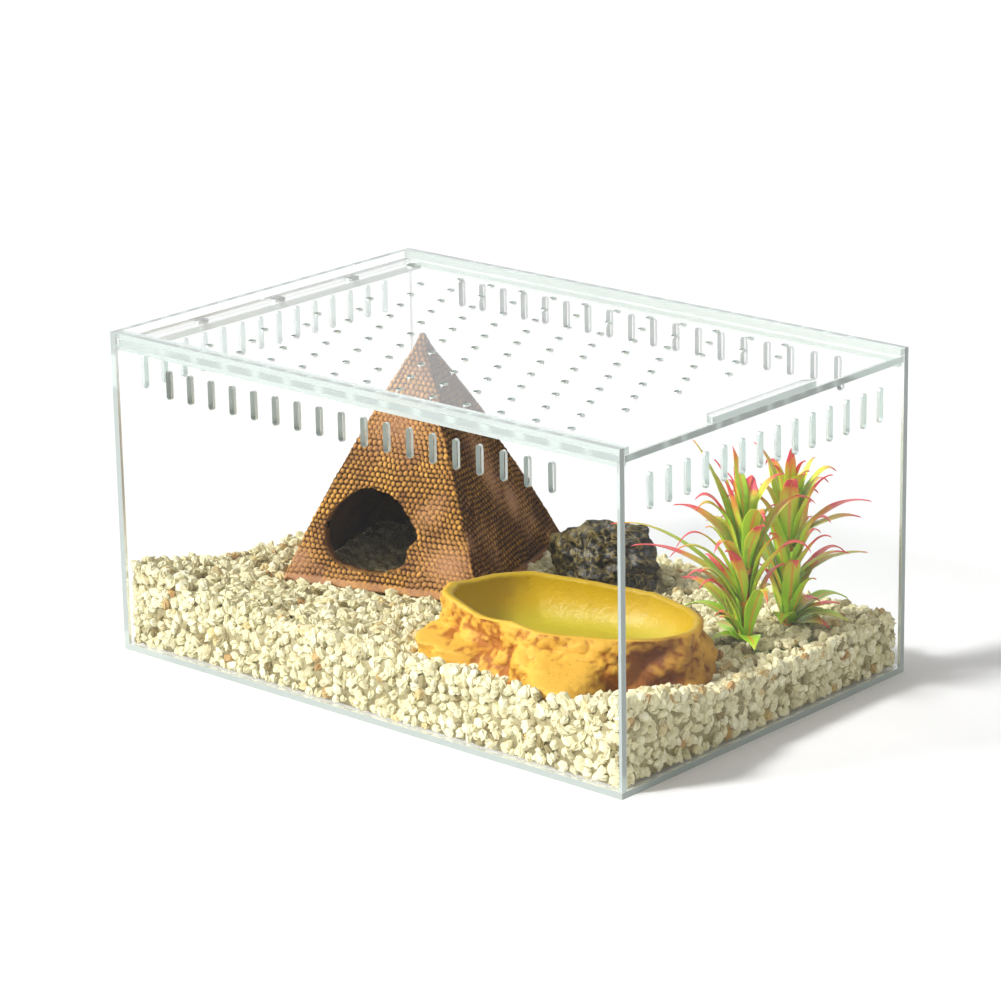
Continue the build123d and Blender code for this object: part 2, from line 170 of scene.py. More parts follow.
def grid_quads(rows, cols, wrap=False):
    """Vertex numbers of the quads of a grid stored row by row, its columns closed if wrap."""
    i, j = np.meshgrid(np.arange(rows - 1), np.arange(cols if wrap else cols - 1), indexing="ij")
    k = (j + 1) % cols
    low, high = i * cols, (i + 1) * cols
    return np.stack([low + j, low + k, high + k, high + j], -1).reshape(-1, 4)


# Putting meshes into the file


def add_object(name, data):
    """An object that holds some data, linked into the scene."""
    thing = bpy.data.objects.new(name, data)
    bpy.context.scene.collection.objects.link(thing)
    return thing


def new_piece(name, points, faces, material, body, nodes=(), smooth=True, values=None):
    """A mesh object from points in millimetres and equal-sided faces, riding on a body."""
    mesh = bpy.data.meshes.new(name)
    count, sides = faces.shape
    mesh.vertices.add(len(points))
    mesh.vertices.foreach_set("co", (points * MM).astype(np.float32).ravel())
    mesh.loops.add(count * sides)
    mesh.loops.foreach_set("vertex_index", faces.astype(np.int32).ravel())
    mesh.polygons.add(count)
    mesh.polygons.foreach_set("loop_start", np.arange(0, count * sides, sides, dtype=np.int32))
    mesh.update(calc_edges=True)
    mesh.validate()
    mesh.polygons.foreach_set("use_smooth", np.full(len(mesh.polygons), smooth))
    mesh.materials.append(material)
    for label, value in (values or {}).items():
        layer = mesh.attributes.new(label, "FLOAT", "POINT")
        layer.data.foreach_set("value", value.astype(np.float32).ravel())
    piece = add_object(name, mesh)
    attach(piece, body)
    if nodes:
        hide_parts(*nodes)
    return piece


def face_outwards(piece, bridged=False):
    """Merges doubled points, joins two open rims if bridged, and turns every face outwards."""
    form = bmesh.new()
    form.from_mesh(piece.data)
    bmesh.ops.remove_doubles(form, verts=form.verts, dist=1e-6)
    if bridged:
        loose = [vert for vert in form.verts if not vert.link_faces]
        bmesh.ops.delete(form, geom=loose, context="VERTS")
        bmesh.ops.bridge_loops(form, edges=[edge for edge in form.edges if edge.is_boundary])
    bmesh.ops.recalc_face_normals(form, faces=form.faces)
    form.to_mesh(piece.data)
    form.free()


def paint_node(node, material):
    """Gives a material to a solid that is shown as it is."""
    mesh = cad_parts[node].data
    mesh.materials.clear()
    mesh.materials.append(material)


# Settings


def colour_setting(name, description, default):
    """A colour that a user may change."""
    return bpy.props.FloatVectorProperty(
        name=name, description=description, subtype="COLOR", size=3, default=default, min=0, max=1,
    )


def size_setting(name, description, default, low, high):
    """A size in millimetres that a user may change."""
    return bpy.props.FloatProperty(
        name=name, description=description + " in millimetres", default=default, min=low, max=high,
    )


def colours(settings, *names):
    """The chosen colours of a settings group as plain tuples."""
    return [tuple(getattr(settings, name)) for name in names]


# Nodes and groups shared by the materials


def feed(tree, socket, value):
    """Links what comes from another node, or writes a number or an opaque colour."""
    if isinstance(value, bpy.types.NodeSocket):
        tree.links.new(value, socket)
    else:
        socket.default_value = (*value, 1) if isinstance(value, tuple) else value


def new_material(name, **finish):
    """A material with one Principled shader, its plain values given by input name."""
    material = bpy.data.materials.new(name)
    material.use_nodes = True
    tree = material.node_tree
    shader = tree.nodes["Principled BSDF"]
    for label, value in finish.items():
        feed(tree, shader.inputs[label.replace("_", " ")], value)
    return material, tree, shader


def add_node(tree, kind, settings=(), **inputs):
    """A node of a kind with its settings, its inputs given by name or, as n0 or n1, by number."""
    node = tree.nodes.new(kind)
    for key, value in dict(settings).items():
        setattr(node, key, value)
    for key, value in inputs.items():
        numbered = key[0] == "n" and key[1:].isdigit()
        feed(tree, node.inputs[int(key[1:]) if numbered else key.replace("_", " ")], value)
    return node


def reckon(tree, operation, *values, clamp=False):
    """The result of a maths node on numbers or links."""
    node = add_node(tree, "ShaderNodeMath", {"operation": operation, "use_clamp": clamp})
    for socket, value in zip(node.inputs, values):
        feed(tree, socket, value)
    return node.outputs[0]


def mix_colours(tree, factor, first, second, mode="MIX"):
    """Mixes two colours, each a link or a plain colour, by a factor."""
    settings = {"data_type": "RGBA", "blend_type": mode}
    return add_node(tree, "ShaderNodeMix", settings, n0=factor, n6=first, n7=second).outputs[2]


def ramp(tree, factor, stops):
    """A colour ramp over a factor, from (place, colour) stops."""
    node = tree.nodes.new("ShaderNodeValToRGB")
    while len(node.color_ramp.elements) < len(stops):
        node.color_ramp.elements.new(0.5)
    for element, (place, colour) in zip(node.color_ramp.elements, stops):
        element.position = place
        element.color = (*colour, 1)
    tree.links.new(factor, node.inputs["Fac"])
    return node.outputs["Color"]


def grey(level):
    """A plain grey of a level."""
    return (level,) * 3


def scaled(colour, factor):
    """A colour made lighter or darker, up to full strength."""
    return tuple(min(1.0, factor * c) for c in colour)


def attribute(tree, name):
    """The value that a piece stores on its own points under a name."""
    return add_node(tree, "ShaderNodeAttribute", {"attribute_name": name}).outputs["Fac"]


def new_group(name, inputs, outputs):
    """An empty shader group with named inputs and outputs, and its two end nodes."""
    group = bpy.data.node_groups.new(name, "ShaderNodeTree")
    for label, kind, default in inputs:
        socket = group.interface.new_socket(label, in_out="INPUT", socket_type=kind)
        socket.default_value = default
    for label, kind in outputs:
        group.interface.new_socket(label, in_out="OUTPUT", socket_type=kind)
    return group, group.nodes.new("NodeGroupInput"), group.nodes.new("NodeGroupOutput")


def object_noise(tree, scale, **more):
    """Noise on the coordinates of the object itself."""
    where = add_node(tree, "ShaderNodeTexCoord").outputs["Object"]
    return add_node(tree, "ShaderNodeTexNoise", n0=where, Scale=scale, **more).outputs["Fac"]


def mottle_group():
    """Group: two colours mixed by contrasted layered noise on object coordinates."""
    name = "Mottle"
    if name in bpy.data.node_groups:
        return bpy.data.node_groups[name]
    group, entry, leave = new_group(
        name,
        (
            ("Dark", "NodeSocketColor", (0, 0, 0, 1)),
            ("Light", "NodeSocketColor", (1, 1, 1, 1)),
            ("Scale", "NodeSocketFloat", 100.0),
            ("Low", "NodeSocketFloat", 0.35),
            ("High", "NodeSocketFloat", 0.65),
        ),
        (("Color", "NodeSocketColor"), ("Value", "NodeSocketFloat")),
    )
    cloud = object_noise(group, entry.outputs["Scale"], Detail=6.0, Roughness=0.6)
    spread = add_node(
        group, "ShaderNodeMapRange",
        Value=cloud, From_Min=entry.outputs["Low"], From_Max=entry.outputs["High"],
    ).outputs["Result"]
    blend = mix_colours(group, spread, entry.outputs["Dark"], entry.outputs["Light"])
    group.links.new(blend, leave.inputs["Color"])
    group.links.new(spread, leave.inputs["Value"])
    return group


def grain_group():
    """Group: a bumped normal from fine noise on object coordinates."""
    name = "Fine grain"
    if name in bpy.data.node_groups:
        return bpy.data.node_groups[name]
    values = (("Scale", 900.0), ("Strength", 0.3), ("Depth", 0.0002))
    group, entry, leave = new_group(
        name, [(label, "NodeSocketFloat", value) for label, value in values],
        (("Normal", "NodeSocketVector"),),
    )
    cloud = object_noise(group, entry.outputs["Scale"], Detail=5.0, Roughness=0.62)
    bump = add_node(
        group, "ShaderNodeBump",
        Strength=entry.outputs["Strength"], Distance=entry.outputs["Depth"], Height=cloud,
    )
    group.links.new(bump.outputs["Normal"], leave.inputs["Normal"])
    return group


def place_group(tree, group, **inputs):
    """A group placed in a material with its own values; returns its outputs."""
    node = tree.nodes.new("ShaderNodeGroup")
    node.node_tree = group
    for label, value in inputs.items():
        feed(tree, node.inputs[label], value)
    return node.outputs


def mottle(tree, dark, light, scale, low=0.35, high=0.65):
    """Outputs of the mottle group placed with its own values."""
    return place_group(tree, mottle_group(), Dark=dark, Light=light, Scale=scale, Low=low, High=high)


def use_grain(tree, shader, scale, strength, depth):
    """Places the grain group with its own values on a shader's normal."""
    grain = place_group(tree, grain_group(), Scale=scale, Strength=strength, Depth=depth)
    tree.links.new(grain["Normal"], shader.inputs["Normal"])


# Materials


def sheet_material(name, colour, roughness, grain=0.0, clear=1.0, mirror=0.0):
    """Clear cast sheet: refracts what is behind it and lets lamp light through to the inside."""
    material, tree, shader = new_material(
        name, Base_Color=colour, Transmission_Weight=clear, Specular_Tint=grey(mirror), IOR=1.49,
    )
    haze = mottle(tree, grey(roughness), grey(roughness * 1.5 + 0.002), 40.0)
    tree.links.new(haze["Color"], shader.inputs["Roughness"])
    if grain:
        use_grain(tree, shader, 500.0, grain, 0.0001)
    path = add_node(tree, "ShaderNodeLightPath").outputs
    unseen = reckon(tree, "MAXIMUM", path["Is Shadow Ray"], path["Is Diffuse Ray"])
    tree.links.new(reckon(tree, "MULTIPLY_ADD", unseen, -0.94, 1.0), shader.inputs["Alpha"])
    return material


def gravel_material(name, cream, shade):
    """Crushed stone: each grain takes its own tint from cream to ochre, with a chalky grain."""
    material, tree, shader = new_material(name, Roughness=0.78)
    # The low end of the tint stands for the darkest grains and, on the core and in the hide, for painted
    # shade
    tint = ramp(
        tree, attribute(tree, "tint"),
        (
            (0.0, shade), (0.1, scaled(cream, 0.85)), (0.5, cream),
            (0.88, (0.97, 0.94, 0.72)), (0.96, (0.8, 0.66, 0.34)), (1.0, (0.55, 0.32, 0.12)),
        ),
    )
    cloud = mottle(tree, (0.72, 0.68, 0.56), (1.0, 1.0, 0.98), 420.0, 0.3, 0.62)
    feed(tree, shader.inputs["Base Color"], mix_colours(tree, 1.0, tint, cloud["Color"], "MULTIPLY"))
    use_grain(tree, shader, 1400.0, 0.5, 0.0004)
    return material


def hide_material(name, crevice, body, gold, worn_tint):
    """Cast resin: dark crevices, brown pebbles tipped with gold, and worn pinkish patches."""
    material, tree, shader = new_material(name, Specular_IOR_Level=0.25)
    # The relief also carries each side's painted shade, so a shaded side turns towards the crevice colour
    relief = attribute(tree, "relief")
    patches = mottle(tree, body, gold, 60.0, 0.36, 0.56)
    tip = ramp(tree, relief, ((0.35, (0.42, 0.34, 0.24)), (0.88, (1.25, 1.16, 0.92))))
    pebbles = mix_colours(tree, 1.0, patches["Color"], tip, "MULTIPLY")
    rubbed = mix_colours(tree, attribute(tree, "worn"), pebbles, worn_tint)
    crest = ramp(tree, relief, ((0.12, grey(0)), (0.42, grey(1))))
    base = mix_colours(tree, crest, crevice, rubbed)
    dust = mottle(tree, (0.82, 0.78, 0.76), (1.1, 1.06, 1.0), 600.0)
    feed(tree, shader.inputs["Base Color"], mix_colours(tree, 1.0, base, dust["Color"], "MULTIPLY"))
    feed(tree, shader.inputs["Roughness"], ramp(tree, relief, ((0.2, grey(0.85)), (1.0, grey(0.55)))))
    use_grain(tree, shader, 1100.0, 0.5, 0.0004)
    return material


def dish_material(name, bowl, bowl_deep, rock_light, rock_dark):
    """Resin dish: a satin yellow bowl, and orange rock sides with brown blotches, painted light on the side
    facing the sun, and painted shade on the side turned from it and in the creases.
    """
    material, tree, shader = new_material(name, Specular_IOR_Level=0.3)
    inside = attribute(tree, "bowl")
    glaze = ramp(
        tree, attribute(tree, "height"), ((0.25, bowl_deep), (0.62, bowl), (1.0, scaled(bowl, 0.9))),
    )
    cloud = mottle(tree, grey(0), grey(1), 42.0, 0.36, 0.66)
    # Brown blotches of noise plus the painted shade of the side turned from the sun; the sun side gets
    # painted light, a touch above the light rock colour
    brown = reckon(tree, "MULTIPLY_ADD", cloud["Value"], 0.5, attribute(tree, "stain"))
    patches = ramp(tree, brown, ((0.15, scaled(rock_light, 1.1)), (0.5, rock_light), (0.95, rock_dark)))
    # Painted shade: the rock is darker where its relief is low, in creases, low places and the cave
    crease_shade = ramp(tree, attribute(tree, "relief"), ((0.15, (0.5, 0.3, 0.16)), (0.5, grey(1))))
    sides = mix_colours(tree, 1.0, patches, crease_shade, "MULTIPLY")
    specks = mottle(tree, (0.5, 0.34, 0.2), grey(1), 520.0, 0.3, 0.38)
    sides = mix_colours(tree, 1.0, sides, specks["Color"], "MULTIPLY")
    feed(tree, shader.inputs["Base Color"], mix_colours(tree, inside, sides, glaze))
    feed(tree, shader.inputs["Roughness"], ramp(tree, inside, ((0.0, grey(0.6)), (1.0, grey(0.38)))))
    use_grain(tree, shader, 420.0, 0.6, 0.0007)
    return material


def rock_material(name, dark, vein):
    """Near-black broken stone with thin beige veins of two sizes and pale rubbed edges."""
    material, tree, shader = new_material(name, Roughness=0.45, Specular_IOR_Level=0.3)
    colour = dark
    for scale, width in ((55.0, 0.022), (120.0, 0.03)):
        cloud = object_noise(tree, scale, Detail=4.0, Distortion=1.6)
        away = reckon(tree, "ABSOLUTE", reckon(tree, "SUBTRACT", cloud, 0.5))
        line = ramp(tree, away, ((0.0, grey(1)), (width, grey(0))))
        colour = mix_colours(tree, line, colour, vein)
    rubbed = ramp(tree, attribute(tree, "relief"), ((0.68, grey(0)), (0.92, grey(1))))
    spots = mottle(tree, grey(0), grey(1), 160.0, 0.45, 0.6)
    rub = mix_colours(tree, 1.0, rubbed, spots["Color"], "MULTIPLY")
    feed(tree, shader.inputs["Base Color"], mix_colours(tree, rub, colour, vein))
    use_grain(tree, shader, 300.0, 0.6, 0.0008)
    return material


def leaf_material(name, green, yellow, pink):
    """Moulded leaf: lime at the root turning yellow, orange and pink at the tip, orange midrib."""
    material, tree, shader = new_material(
        name, Roughness=0.42, Subsurface_Weight=0.12, Subsurface_Scale=0.002,
    )
    noisy = mottle(tree, grey(0), grey(1), 55.0, 0.3, 0.7)
    shift = reckon(tree, "MULTIPLY_ADD", noisy["Value"], 0.22, attribute(tree, "along"))
    shift = reckon(tree, "MULTIPLY_ADD", attribute(tree, "flush"), 0.5, shift)
    body = ramp(
        tree, shift,
        (
            (0.0, scaled(green, 0.7)), (0.5, green), (0.78, yellow),
            (0.95, (0.9, 0.25, 0.06)), (1.15 / 1.2, pink),
        ),
    )
    rib = ramp(tree, attribute(tree, "across"), ((0.0, grey(0.9)), (0.24, grey(0))))
    feed(tree, shader.inputs["Base Color"], mix_colours(tree, rib, body, (0.85, 0.3, 0.05)))
    use_grain(tree, shader, 700.0, 0.2, 0.0002)
    return material


def plain_plastic(name, low, high, roughness):
    """Moulded plastic whose colour drifts a little, with a fine grain."""
    material, tree, shader = new_material(name, Roughness=roughness)
    feed(tree, shader.inputs["Base Color"], mottle(tree, low, high, 90.0)["Color"])
    use_grain(tree, shader, 900.0, 0.2, 0.0002)
    return material


def plated_material(name):
    """Bright plated magnet face with faint circular scuffs."""
    material, tree, shader = new_material(name, Metallic=1.0)
    tint = mottle(tree, (0.24, 0.25, 0.25), (0.58, 0.6, 0.59), 260.0)
    feed(tree, shader.inputs["Base Color"], tint["Color"])
    feed(tree, shader.inputs["Roughness"], mottle(tree, grey(0.18), grey(0.34), 700.0)["Color"])
    return material


def stage_material(name, colour):
    """Pale floor: lit and shadowed as paper, and dim in reflections, which keeps the panes clear."""
    material, tree, shader = new_material(name, Roughness=0.7)
    haze = mottle(tree, scaled(colour, 0.985), colour, 3.0)
    path = add_node(tree, "ShaderNodeLightPath").outputs
    mirrored = reckon(tree, "SUBTRACT", path["Is Glossy Ray"], path["Is Transmission Ray"], clamp=True)
    feed(tree, shader.inputs["Base Color"], mix_colours(tree, mirrored, haze["Color"], grey(0.12)))
    return material


# Pieces of the clear box

# Each sheet, rail and strip with the axis that it is thin along
BOX_SHEETS = (
    ("base_plate", 2), ("front_wall", 1), ("rear_wall", 1), ("left_end_wall", 0),
    ("right_end_wall", 0), ("front_upper_rail", 1), ("rear_upper_rail", 1),
    ("front_lower_rail", 1), ("rear_lower_rail", 1), ("end_ledge", 2),
)
LID_SHEETS = (("lid_sheet", 2), ("lid_pull", 2))
FACE, EDGE, CUT = 0, 1, 2

# In metres, except the angle: what is merged, what counts as flat and as outer, and the glue line
MERGED = 2e-6
FLAT_ANGLE = 0.002
OUTER = 2e-5
GLUE_LINE = 0.00003


def cut_sheet(node, axis, body, faces, edges, cuts):
    """A copy of a sheet solid with polished faces, bright cut edges and frosted hole walls.

    A face along the sheet's thin axis is polished, one on its outer boundary is an edge, and
    any other belongs to a hole. The copy is drawn in by a hair, which is the glue line.
    """
    form = bmesh.new()
    form.from_mesh(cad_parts[node].data)
    bmesh.ops.remove_doubles(form, verts=form.verts, dist=MERGED)
    bmesh.ops.dissolve_limit(form, angle_limit=FLAT_ANGLE, verts=form.verts, edges=form.edges)
    low, high = (np.array(corner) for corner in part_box(node))
    middle = (low + high) / 2
    shrink = 1 - 2 * GLUE_LINE / (high - low)
    for face in form.faces:
        centre = np.array(face.calc_center_median())
        normal = np.abs(np.array(face.normal))
        side = int(normal.argmax())
        outer = min(abs(centre[side] - low[side]), abs(centre[side] - high[side])) < OUTER
        face.material_index = FACE if normal[axis] > 0.9 else (EDGE if outer else CUT)
        face.smooth = face.material_index == CUT
    for point in form.verts:
        point.co = (np.array(point.co) - middle) * shrink + middle
    bmesh.ops.triangulate(form, faces=form.faces)
    mesh = bpy.data.meshes.new(node + "_sheet")
    form.to_mesh(mesh)
    form.free()
    for material in (faces, edges, cuts):
        mesh.materials.append(material)
    piece = add_object(node + "_sheet", mesh)
    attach(piece, body)
    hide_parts(node)
    return piece


class SheetSettings(bpy.types.PropertyGroup):
    """Finish of the clear sheet."""

    face: colour_setting("Sheet colour", "Tint of the polished faces", (0.992, 1.0, 0.996))
    edge: colour_setting("Edge colour", "Tint of the sawn and polished edges", (0.74, 0.82, 0.79))
    cut: colour_setting("Cut colour", "Tint of slot and hole walls", (0.5, 0.58, 0.55))
    bar: colour_setting("Bar colour", "Tint of the glued rails", (0.66, 0.72, 0.69))
    edge_roughness: bpy.props.FloatProperty(
        name="Edge roughness", description="Haze of the sheet edges", default=0.12, min=0, max=1,
        subtype="FACTOR",
    )


class TERRARIUM_OT_sheets(bpy.types.Operator):
    """Gives every clear sheet, rail and strip its polished faces and bright edges"""

    bl_idname = "terrarium.sheets"
    bl_label = "Clear sheets"

    def execute(self, context):
        settings = context.scene.terrarium_sheets
        face, edge, cut, bar = colours(settings, "face", "edge", "cut", "bar")
        faces = sheet_material("clear_sheet_face", face, 0.0)
        edges = sheet_material("clear_sheet_edge", edge, settings.edge_roughness, 0.3, 0.4, 0.8)
        cuts = sheet_material("clear_sheet_cut", cut, 0.28, 0.4, 0.4, 0.8)
        bars = sheet_material("clear_bar", bar, 0.1, 0.3, 0.45, 0.8)
        for node, axis in BOX_SHEETS:
            cut_sheet(node, axis, "box", bars if node.endswith("rail") else faces, edges, cuts)
        for node, axis in LID_SHEETS:
            cut_sheet(node, axis, "lid", faces, edges, cuts)
        return {"FINISHED"}


class TERRARIUM_OT_magnets(bpy.types.Operator):
    """Gives both rows of closing magnets their plated finish"""

    bl_idname = "terrarium.magnets"
    bl_label = "Magnets"

    def execute(self, context):
        plated = plated_material("plated_magnet")
        for node in ("ledge_magnets", "lid_magnets"):
            paint_node(node, plated)
        return {"FINISHED"}


# Gravel

# How near to the bed's sides the middle of a grain comes, and how high its top, in millimetres
GRAIN_INSET = 1.7
GRAIN_TOP = 43.2
CORE_GRID = 121


def grain_form():
    """A closed grain of 20 points: three rings of six between two poles, on a unit sphere."""
    rings = np.array([-0.62, 0.0, 0.62])[:, None]
    turn = np.arange(6) * math.pi / 3 + np.array([0.0, 0.5, 1.0])[:, None]
    flat = np.cos(np.arcsin(rings))
    ring = np.stack([flat * np.cos(turn), flat * np.sin(turn), np.broadcast_to(rings, turn.shape)], -1)
    points = np.vstack([[[0, 0, -1]], ring.reshape(-1, 3), [[0, 0, 1]]])
    j = np.arange(6)
    k = (j + 1) % 6
    faces = [np.stack([np.zeros(6, int), 1 + k, 1 + j], -1)]
    for low, high in ((1, 7), (7, 13)):
        faces += [np.stack([low + j, low + k, high + k], -1), np.stack([low + j, high + k, high + j], -1)]
    faces.append(np.stack([13 + j, 13 + k, np.full(6, 19)], -1))
    return points, np.vstack(faces)


def random_turns(generator, count):
    """Random rotations, from unit quaternions drawn evenly."""
    q = generator.normal(size=(count, 4))
    w, x, y, z = (q / np.linalg.norm(q, axis=1, keepdims=True)).T
    return np.stack([
        1 - 2 * (y * y + z * z), 2 * (x * y - w * z), 2 * (x * z + w * y),
        2 * (x * y + w * z), 1 - 2 * (x * x + z * z), 2 * (y * z - w * x),
        2 * (x * z - w * y), 2 * (y * z + w * x), 1 - 2 * (x * x + y * y),
    ], -1).reshape(count, 3, 3)


def scatter_grains(name, centres, size, seed, material, body="box", lightest=1.0):
    """Grains at given centres: the form stretched, chipped and turned at random, kept in the bed.

    Where a grain reaches the bed's side it is cut flat, each at a depth of its own.
    """
    generator = np.random.default_rng(seed)
    form, faces = grain_form()
    count = len(centres)
    stretch = size / 2 * generator.uniform(0.72, 1.22, (count, 1, 3)) * np.array([1.1, 0.95, 0.8])
    chips = 1 + generator.uniform(-0.2, 0.2, (count, len(form), 1))
    points = np.einsum("nij,nvj->nvi", random_turns(generator, count), form * stretch * chips)
    inner = np.array([BED_END, BED_SIDE]) - GRAIN_INSET
    flat = np.clip(centres[:, :2], -inner, inner)
    points += np.column_stack([flat, np.maximum(centres[:, 2], BASE_TOP + GRAIN_INSET)])[:, None]
    shade = generator.uniform(0, 1, count) ** 1.1
    slack = generator.uniform(0, 0.6, (count, 1))
    points[..., 0] = np.clip(points[..., 0], slack - BED_END, BED_END - slack)
    points[..., 1] = np.clip(points[..., 1], slack - BED_SIDE, BED_SIDE - slack)
    points[..., 2] = np.clip(points[..., 2], BASE_TOP + 0.1, GRAIN_TOP)
    every = faces + np.arange(count)[:, None, None] * len(form)
    tint = np.repeat(shade * lightest, len(form))
    return new_piece(
        name, points.reshape(-1, 3), every.reshape(-1, 3), material, body, (),
        smooth=False, values={"tint": tint},
    )


def clear_of_ornaments(x, y, margin):
    """True where a point of the bed stays outside the seats of hide, dish, rock and foot."""
    dx, dy = x - HIDE_AT[0], y - HIDE_AT[1]
    across = dx * math.cos(HIDE_TURN) + dy * math.sin(HIDE_TURN)
    along = -dx * math.sin(HIDE_TURN) + dy * math.cos(HIDE_TURN)
    hide = np.maximum(abs(across), abs(along)) > HIDE_SIDE / 2 + margin
    dish = beyond_outline(x, y, DISH_AT, DISH_BASE, 400, margin)
    rock = beyond_outline(x, y, ROCK_AT, ROCK_OUTLINE, 200, margin)
    foot = np.hypot(x - PLANT_AT[0], y - PLANT_AT[1]) > FOOT_RADIUS + margin
    return hide & dish & rock & foot


def jittered(generator, low, high, step):
    """A grid of points over a rectangle, each moved by a random part of its step."""
    counts = np.maximum(1, np.round((np.array(high) - low) / step)).astype(int)
    lines = (np.linspace(start, stop, count) for start, stop, count in zip(low, high, counts))
    a, b = np.meshgrid(*lines, indexing="ij")
    grid = np.stack([a.ravel(), b.ravel()], -1)
    grid[:, 1] += step * 0.5 * (np.arange(len(grid)) // counts[1] % 2)
    return grid + generator.uniform(-0.38, 0.38, grid.shape) * step


def over_bed(generator, step):
    """Jittered points over the whole plan of the bed."""
    corner = np.array([BED_END - 2, BED_SIDE - 2])
    return jittered(generator, -corner, corner, step)


def wall_grains(generator, step, inset):
    """Centres of the grains pressed against the four walls, from the base up to the surface."""
    walls = []
    for sign in (-1, 1):
        for end, side in ((BED_END, BED_SIDE), (BED_SIDE, BED_END)):
            flat = jittered(generator, (-end + 1.5, BASE_TOP + 1.5), (end - 1.5, 44), step)
            depth = sign * (side - inset) + generator.uniform(-0.6, 0.6, len(flat))
            x, y = (flat[:, 0], depth) if side == BED_SIDE else (depth, flat[:, 0])
            keep = flat[:, 1] < bed_height(x, y) - 0.3
            walls.append(np.stack([x, y, flat[:, 1]], -1)[keep])
    return np.vstack(walls)


def gravel_core():
    """A closed height field under the grains, with its skirt and floor drawn in from the bed."""
    n = CORE_GRID
    side = np.linspace(-1, 1, n)
    x, y = np.meshgrid(side * (BED_END - 2.2), side * (BED_SIDE - 2.2), indexing="ij")
    top = np.where(clear_of_ornaments(x, y, 0.5), bed_height(x, y) - 3.0, HIDE_AT[2] - 6.5)
    rows = np.stack([x, y, top], -1)
    floor = rows.copy()
    floor[..., 2] = BASE_TOP + 0.3
    quads = grid_quads(n, n)
    rim = np.concatenate([
        np.arange(n), np.arange(n, n * n, n) + n - 1,
        np.arange(n * n - 2, (n - 1) * n - 1, -1), np.arange((n - 2) * n, 0, -n),
    ])
    after = np.roll(rim, -1)
    skirt = np.stack([rim, rim + n * n, after + n * n, after], -1)
    points = np.vstack([rows.reshape(-1, 3), floor.reshape(-1, 3)])
    return points, np.vstack([quads, quads[:, ::-1] + n * n, skirt])


class GravelSettings(bpy.types.PropertyGroup):
    """Size, spacing and colour of the gravel."""

    grain: size_setting("Grain size", "Mean size of one grain", 6.0, 2, 12)
    step: size_setting("Spacing", "Mean distance between grains", 4.2, 1, 12)
    cream: colour_setting("Cream", "Commonest colour of the grains", (0.93, 0.88, 0.6))
    # The darkest grain colour also paints shade on the gravel core and on the grains inside the hide
    shade: colour_setting("Shade", "Colour of the darkest grains", (0.3, 0.24, 0.1))


def crushed_stone(scene):
    """The material of every grain, made when it is first wanted."""
    name = "crushed_stone"
    made = bpy.data.materials.get(name)
    return made or gravel_material(name, *colours(scene.terrarium_gravel, "cream", "shade"))


class TERRARIUM_OT_gravel(bpy.types.Operator):
    """Builds the gravel: a core painted in shade and loose grains on its top and against each wall"""

    bl_idname = "terrarium.gravel"
    bl_label = "Gravel"

    def execute(self, context):
        settings = context.scene.terrarium_gravel
        stone = crushed_stone(context.scene)
        rng = np.random.default_rng(11)
        size, step = settings.grain, settings.step
        scatter_grains("gravel_at_walls", wall_grains(rng, step, size * 0.42), size, 3, stone)

        # Two layers over the open surface, heaped a little by slow noise
        for layer, (drop, seed) in enumerate(((2.4, 5), (0.6, 6))):
            flat = over_bed(rng, step * (1 + 0.35 * layer))
            flat = flat[clear_of_ornaments(*flat.T, 0.3 + size * 0.25)]
            heap = 2.2 * (noise(on_plane(flat / 13), 4) - 0.5)
            z = bed_height(*flat.T) - drop + heap + rng.uniform(-0.7, 0.7, len(flat))
            scatter_grains(f"gravel_surface_{layer}", np.column_stack([flat, z]), size, seed, stone)

        # Grains in the seats of the ornaments, seen round their feet and when they are lifted
        flat = over_bed(rng, step)
        flat = flat[~clear_of_ornaments(*flat.T, 2.5)]
        z = HIDE_AT[2] - 3.6 + rng.uniform(-0.5, 0.5, len(flat))
        scatter_grains("gravel_under_ornaments", np.column_stack([flat, z]), size, 7, stone)

        # Grains on the floor inside the hide, seen through its door, with tints near the dark end: painted
        # shade inside the hide
        place = spun(jittered(rng, (-44, -44), (44, 44), step), HIDE_TURN) + HIDE_AT[:2]
        z = HIDE_AT[2] - 0.6 + rng.uniform(-0.8, 0.8, len(place))
        scatter_grains("gravel_in_hide", np.column_stack([place, z]), size, 8, stone, lightest=0.08)

        points, faces = gravel_core()
        # The core's tint near 0 paints it in the darkest grain colour: painted shade in the gaps between
        # the grains
        core = new_piece(
            "gravel_core", points, faces, stone, "box", ("gravel_bed",),
            values={"tint": np.full(len(points), 0.03)},
        )
        face_outwards(core)
        return {"FINISHED"}


# Hide

# Columns on the front, right, back and left side, and how much painted shade darkens the relief of each
HIDE_COLUMNS = (184, 166, 60, 60)
HIDE_SIDE_SHADE = np.array([1.0, 0.52, 0.72, 0.85])

# Worn patches: side, place across and up, half widths across and up
WORN_PATCHES = (
    (0, -4, 72, 20, 14), (0, 32, 15, 13, 9), (0, -44, 10, 8, 7), (1, 4, 50, 9, 20), (1, 14, 30, 8, 10),
)


def pebble_relief(across, rise, side, pitch):
    """Height from 0 to 1 of round pebbles in staggered, wavering courses.

    Each cell of the course grid has its own lot, which sets how high and how wide it stands.
    """
    drift = noise(np.stack([across / 8, rise / 8, side * 5.0 + 0 * rise], -1), 12) - 0.5
    level = rise / pitch + 0.7 * drift
    row = np.floor(level)
    stagger = 0.5 * (row % 2) + 0.6 * drift + 0.3 * np.sin(row * 12.9 + side * 3.7)
    place = across / (pitch * 1.06) + stagger
    column = np.floor(place)
    lot = np.abs(np.sin(row * 127.1 + column * 311.7 + side * 74.7) * 43758.5453) % 1.0
    dx = (place - column - 0.5) * 2
    dy = (level - row - 0.5) * 2
    far = (dx * (1.0 + 0.22 * lot)) ** 2 + (dy * (1.16 - 0.2 * lot)) ** 2
    return np.sqrt(np.clip(1 - 0.86 * far, 0, 1)) * (0.62 + 0.38 * lot)


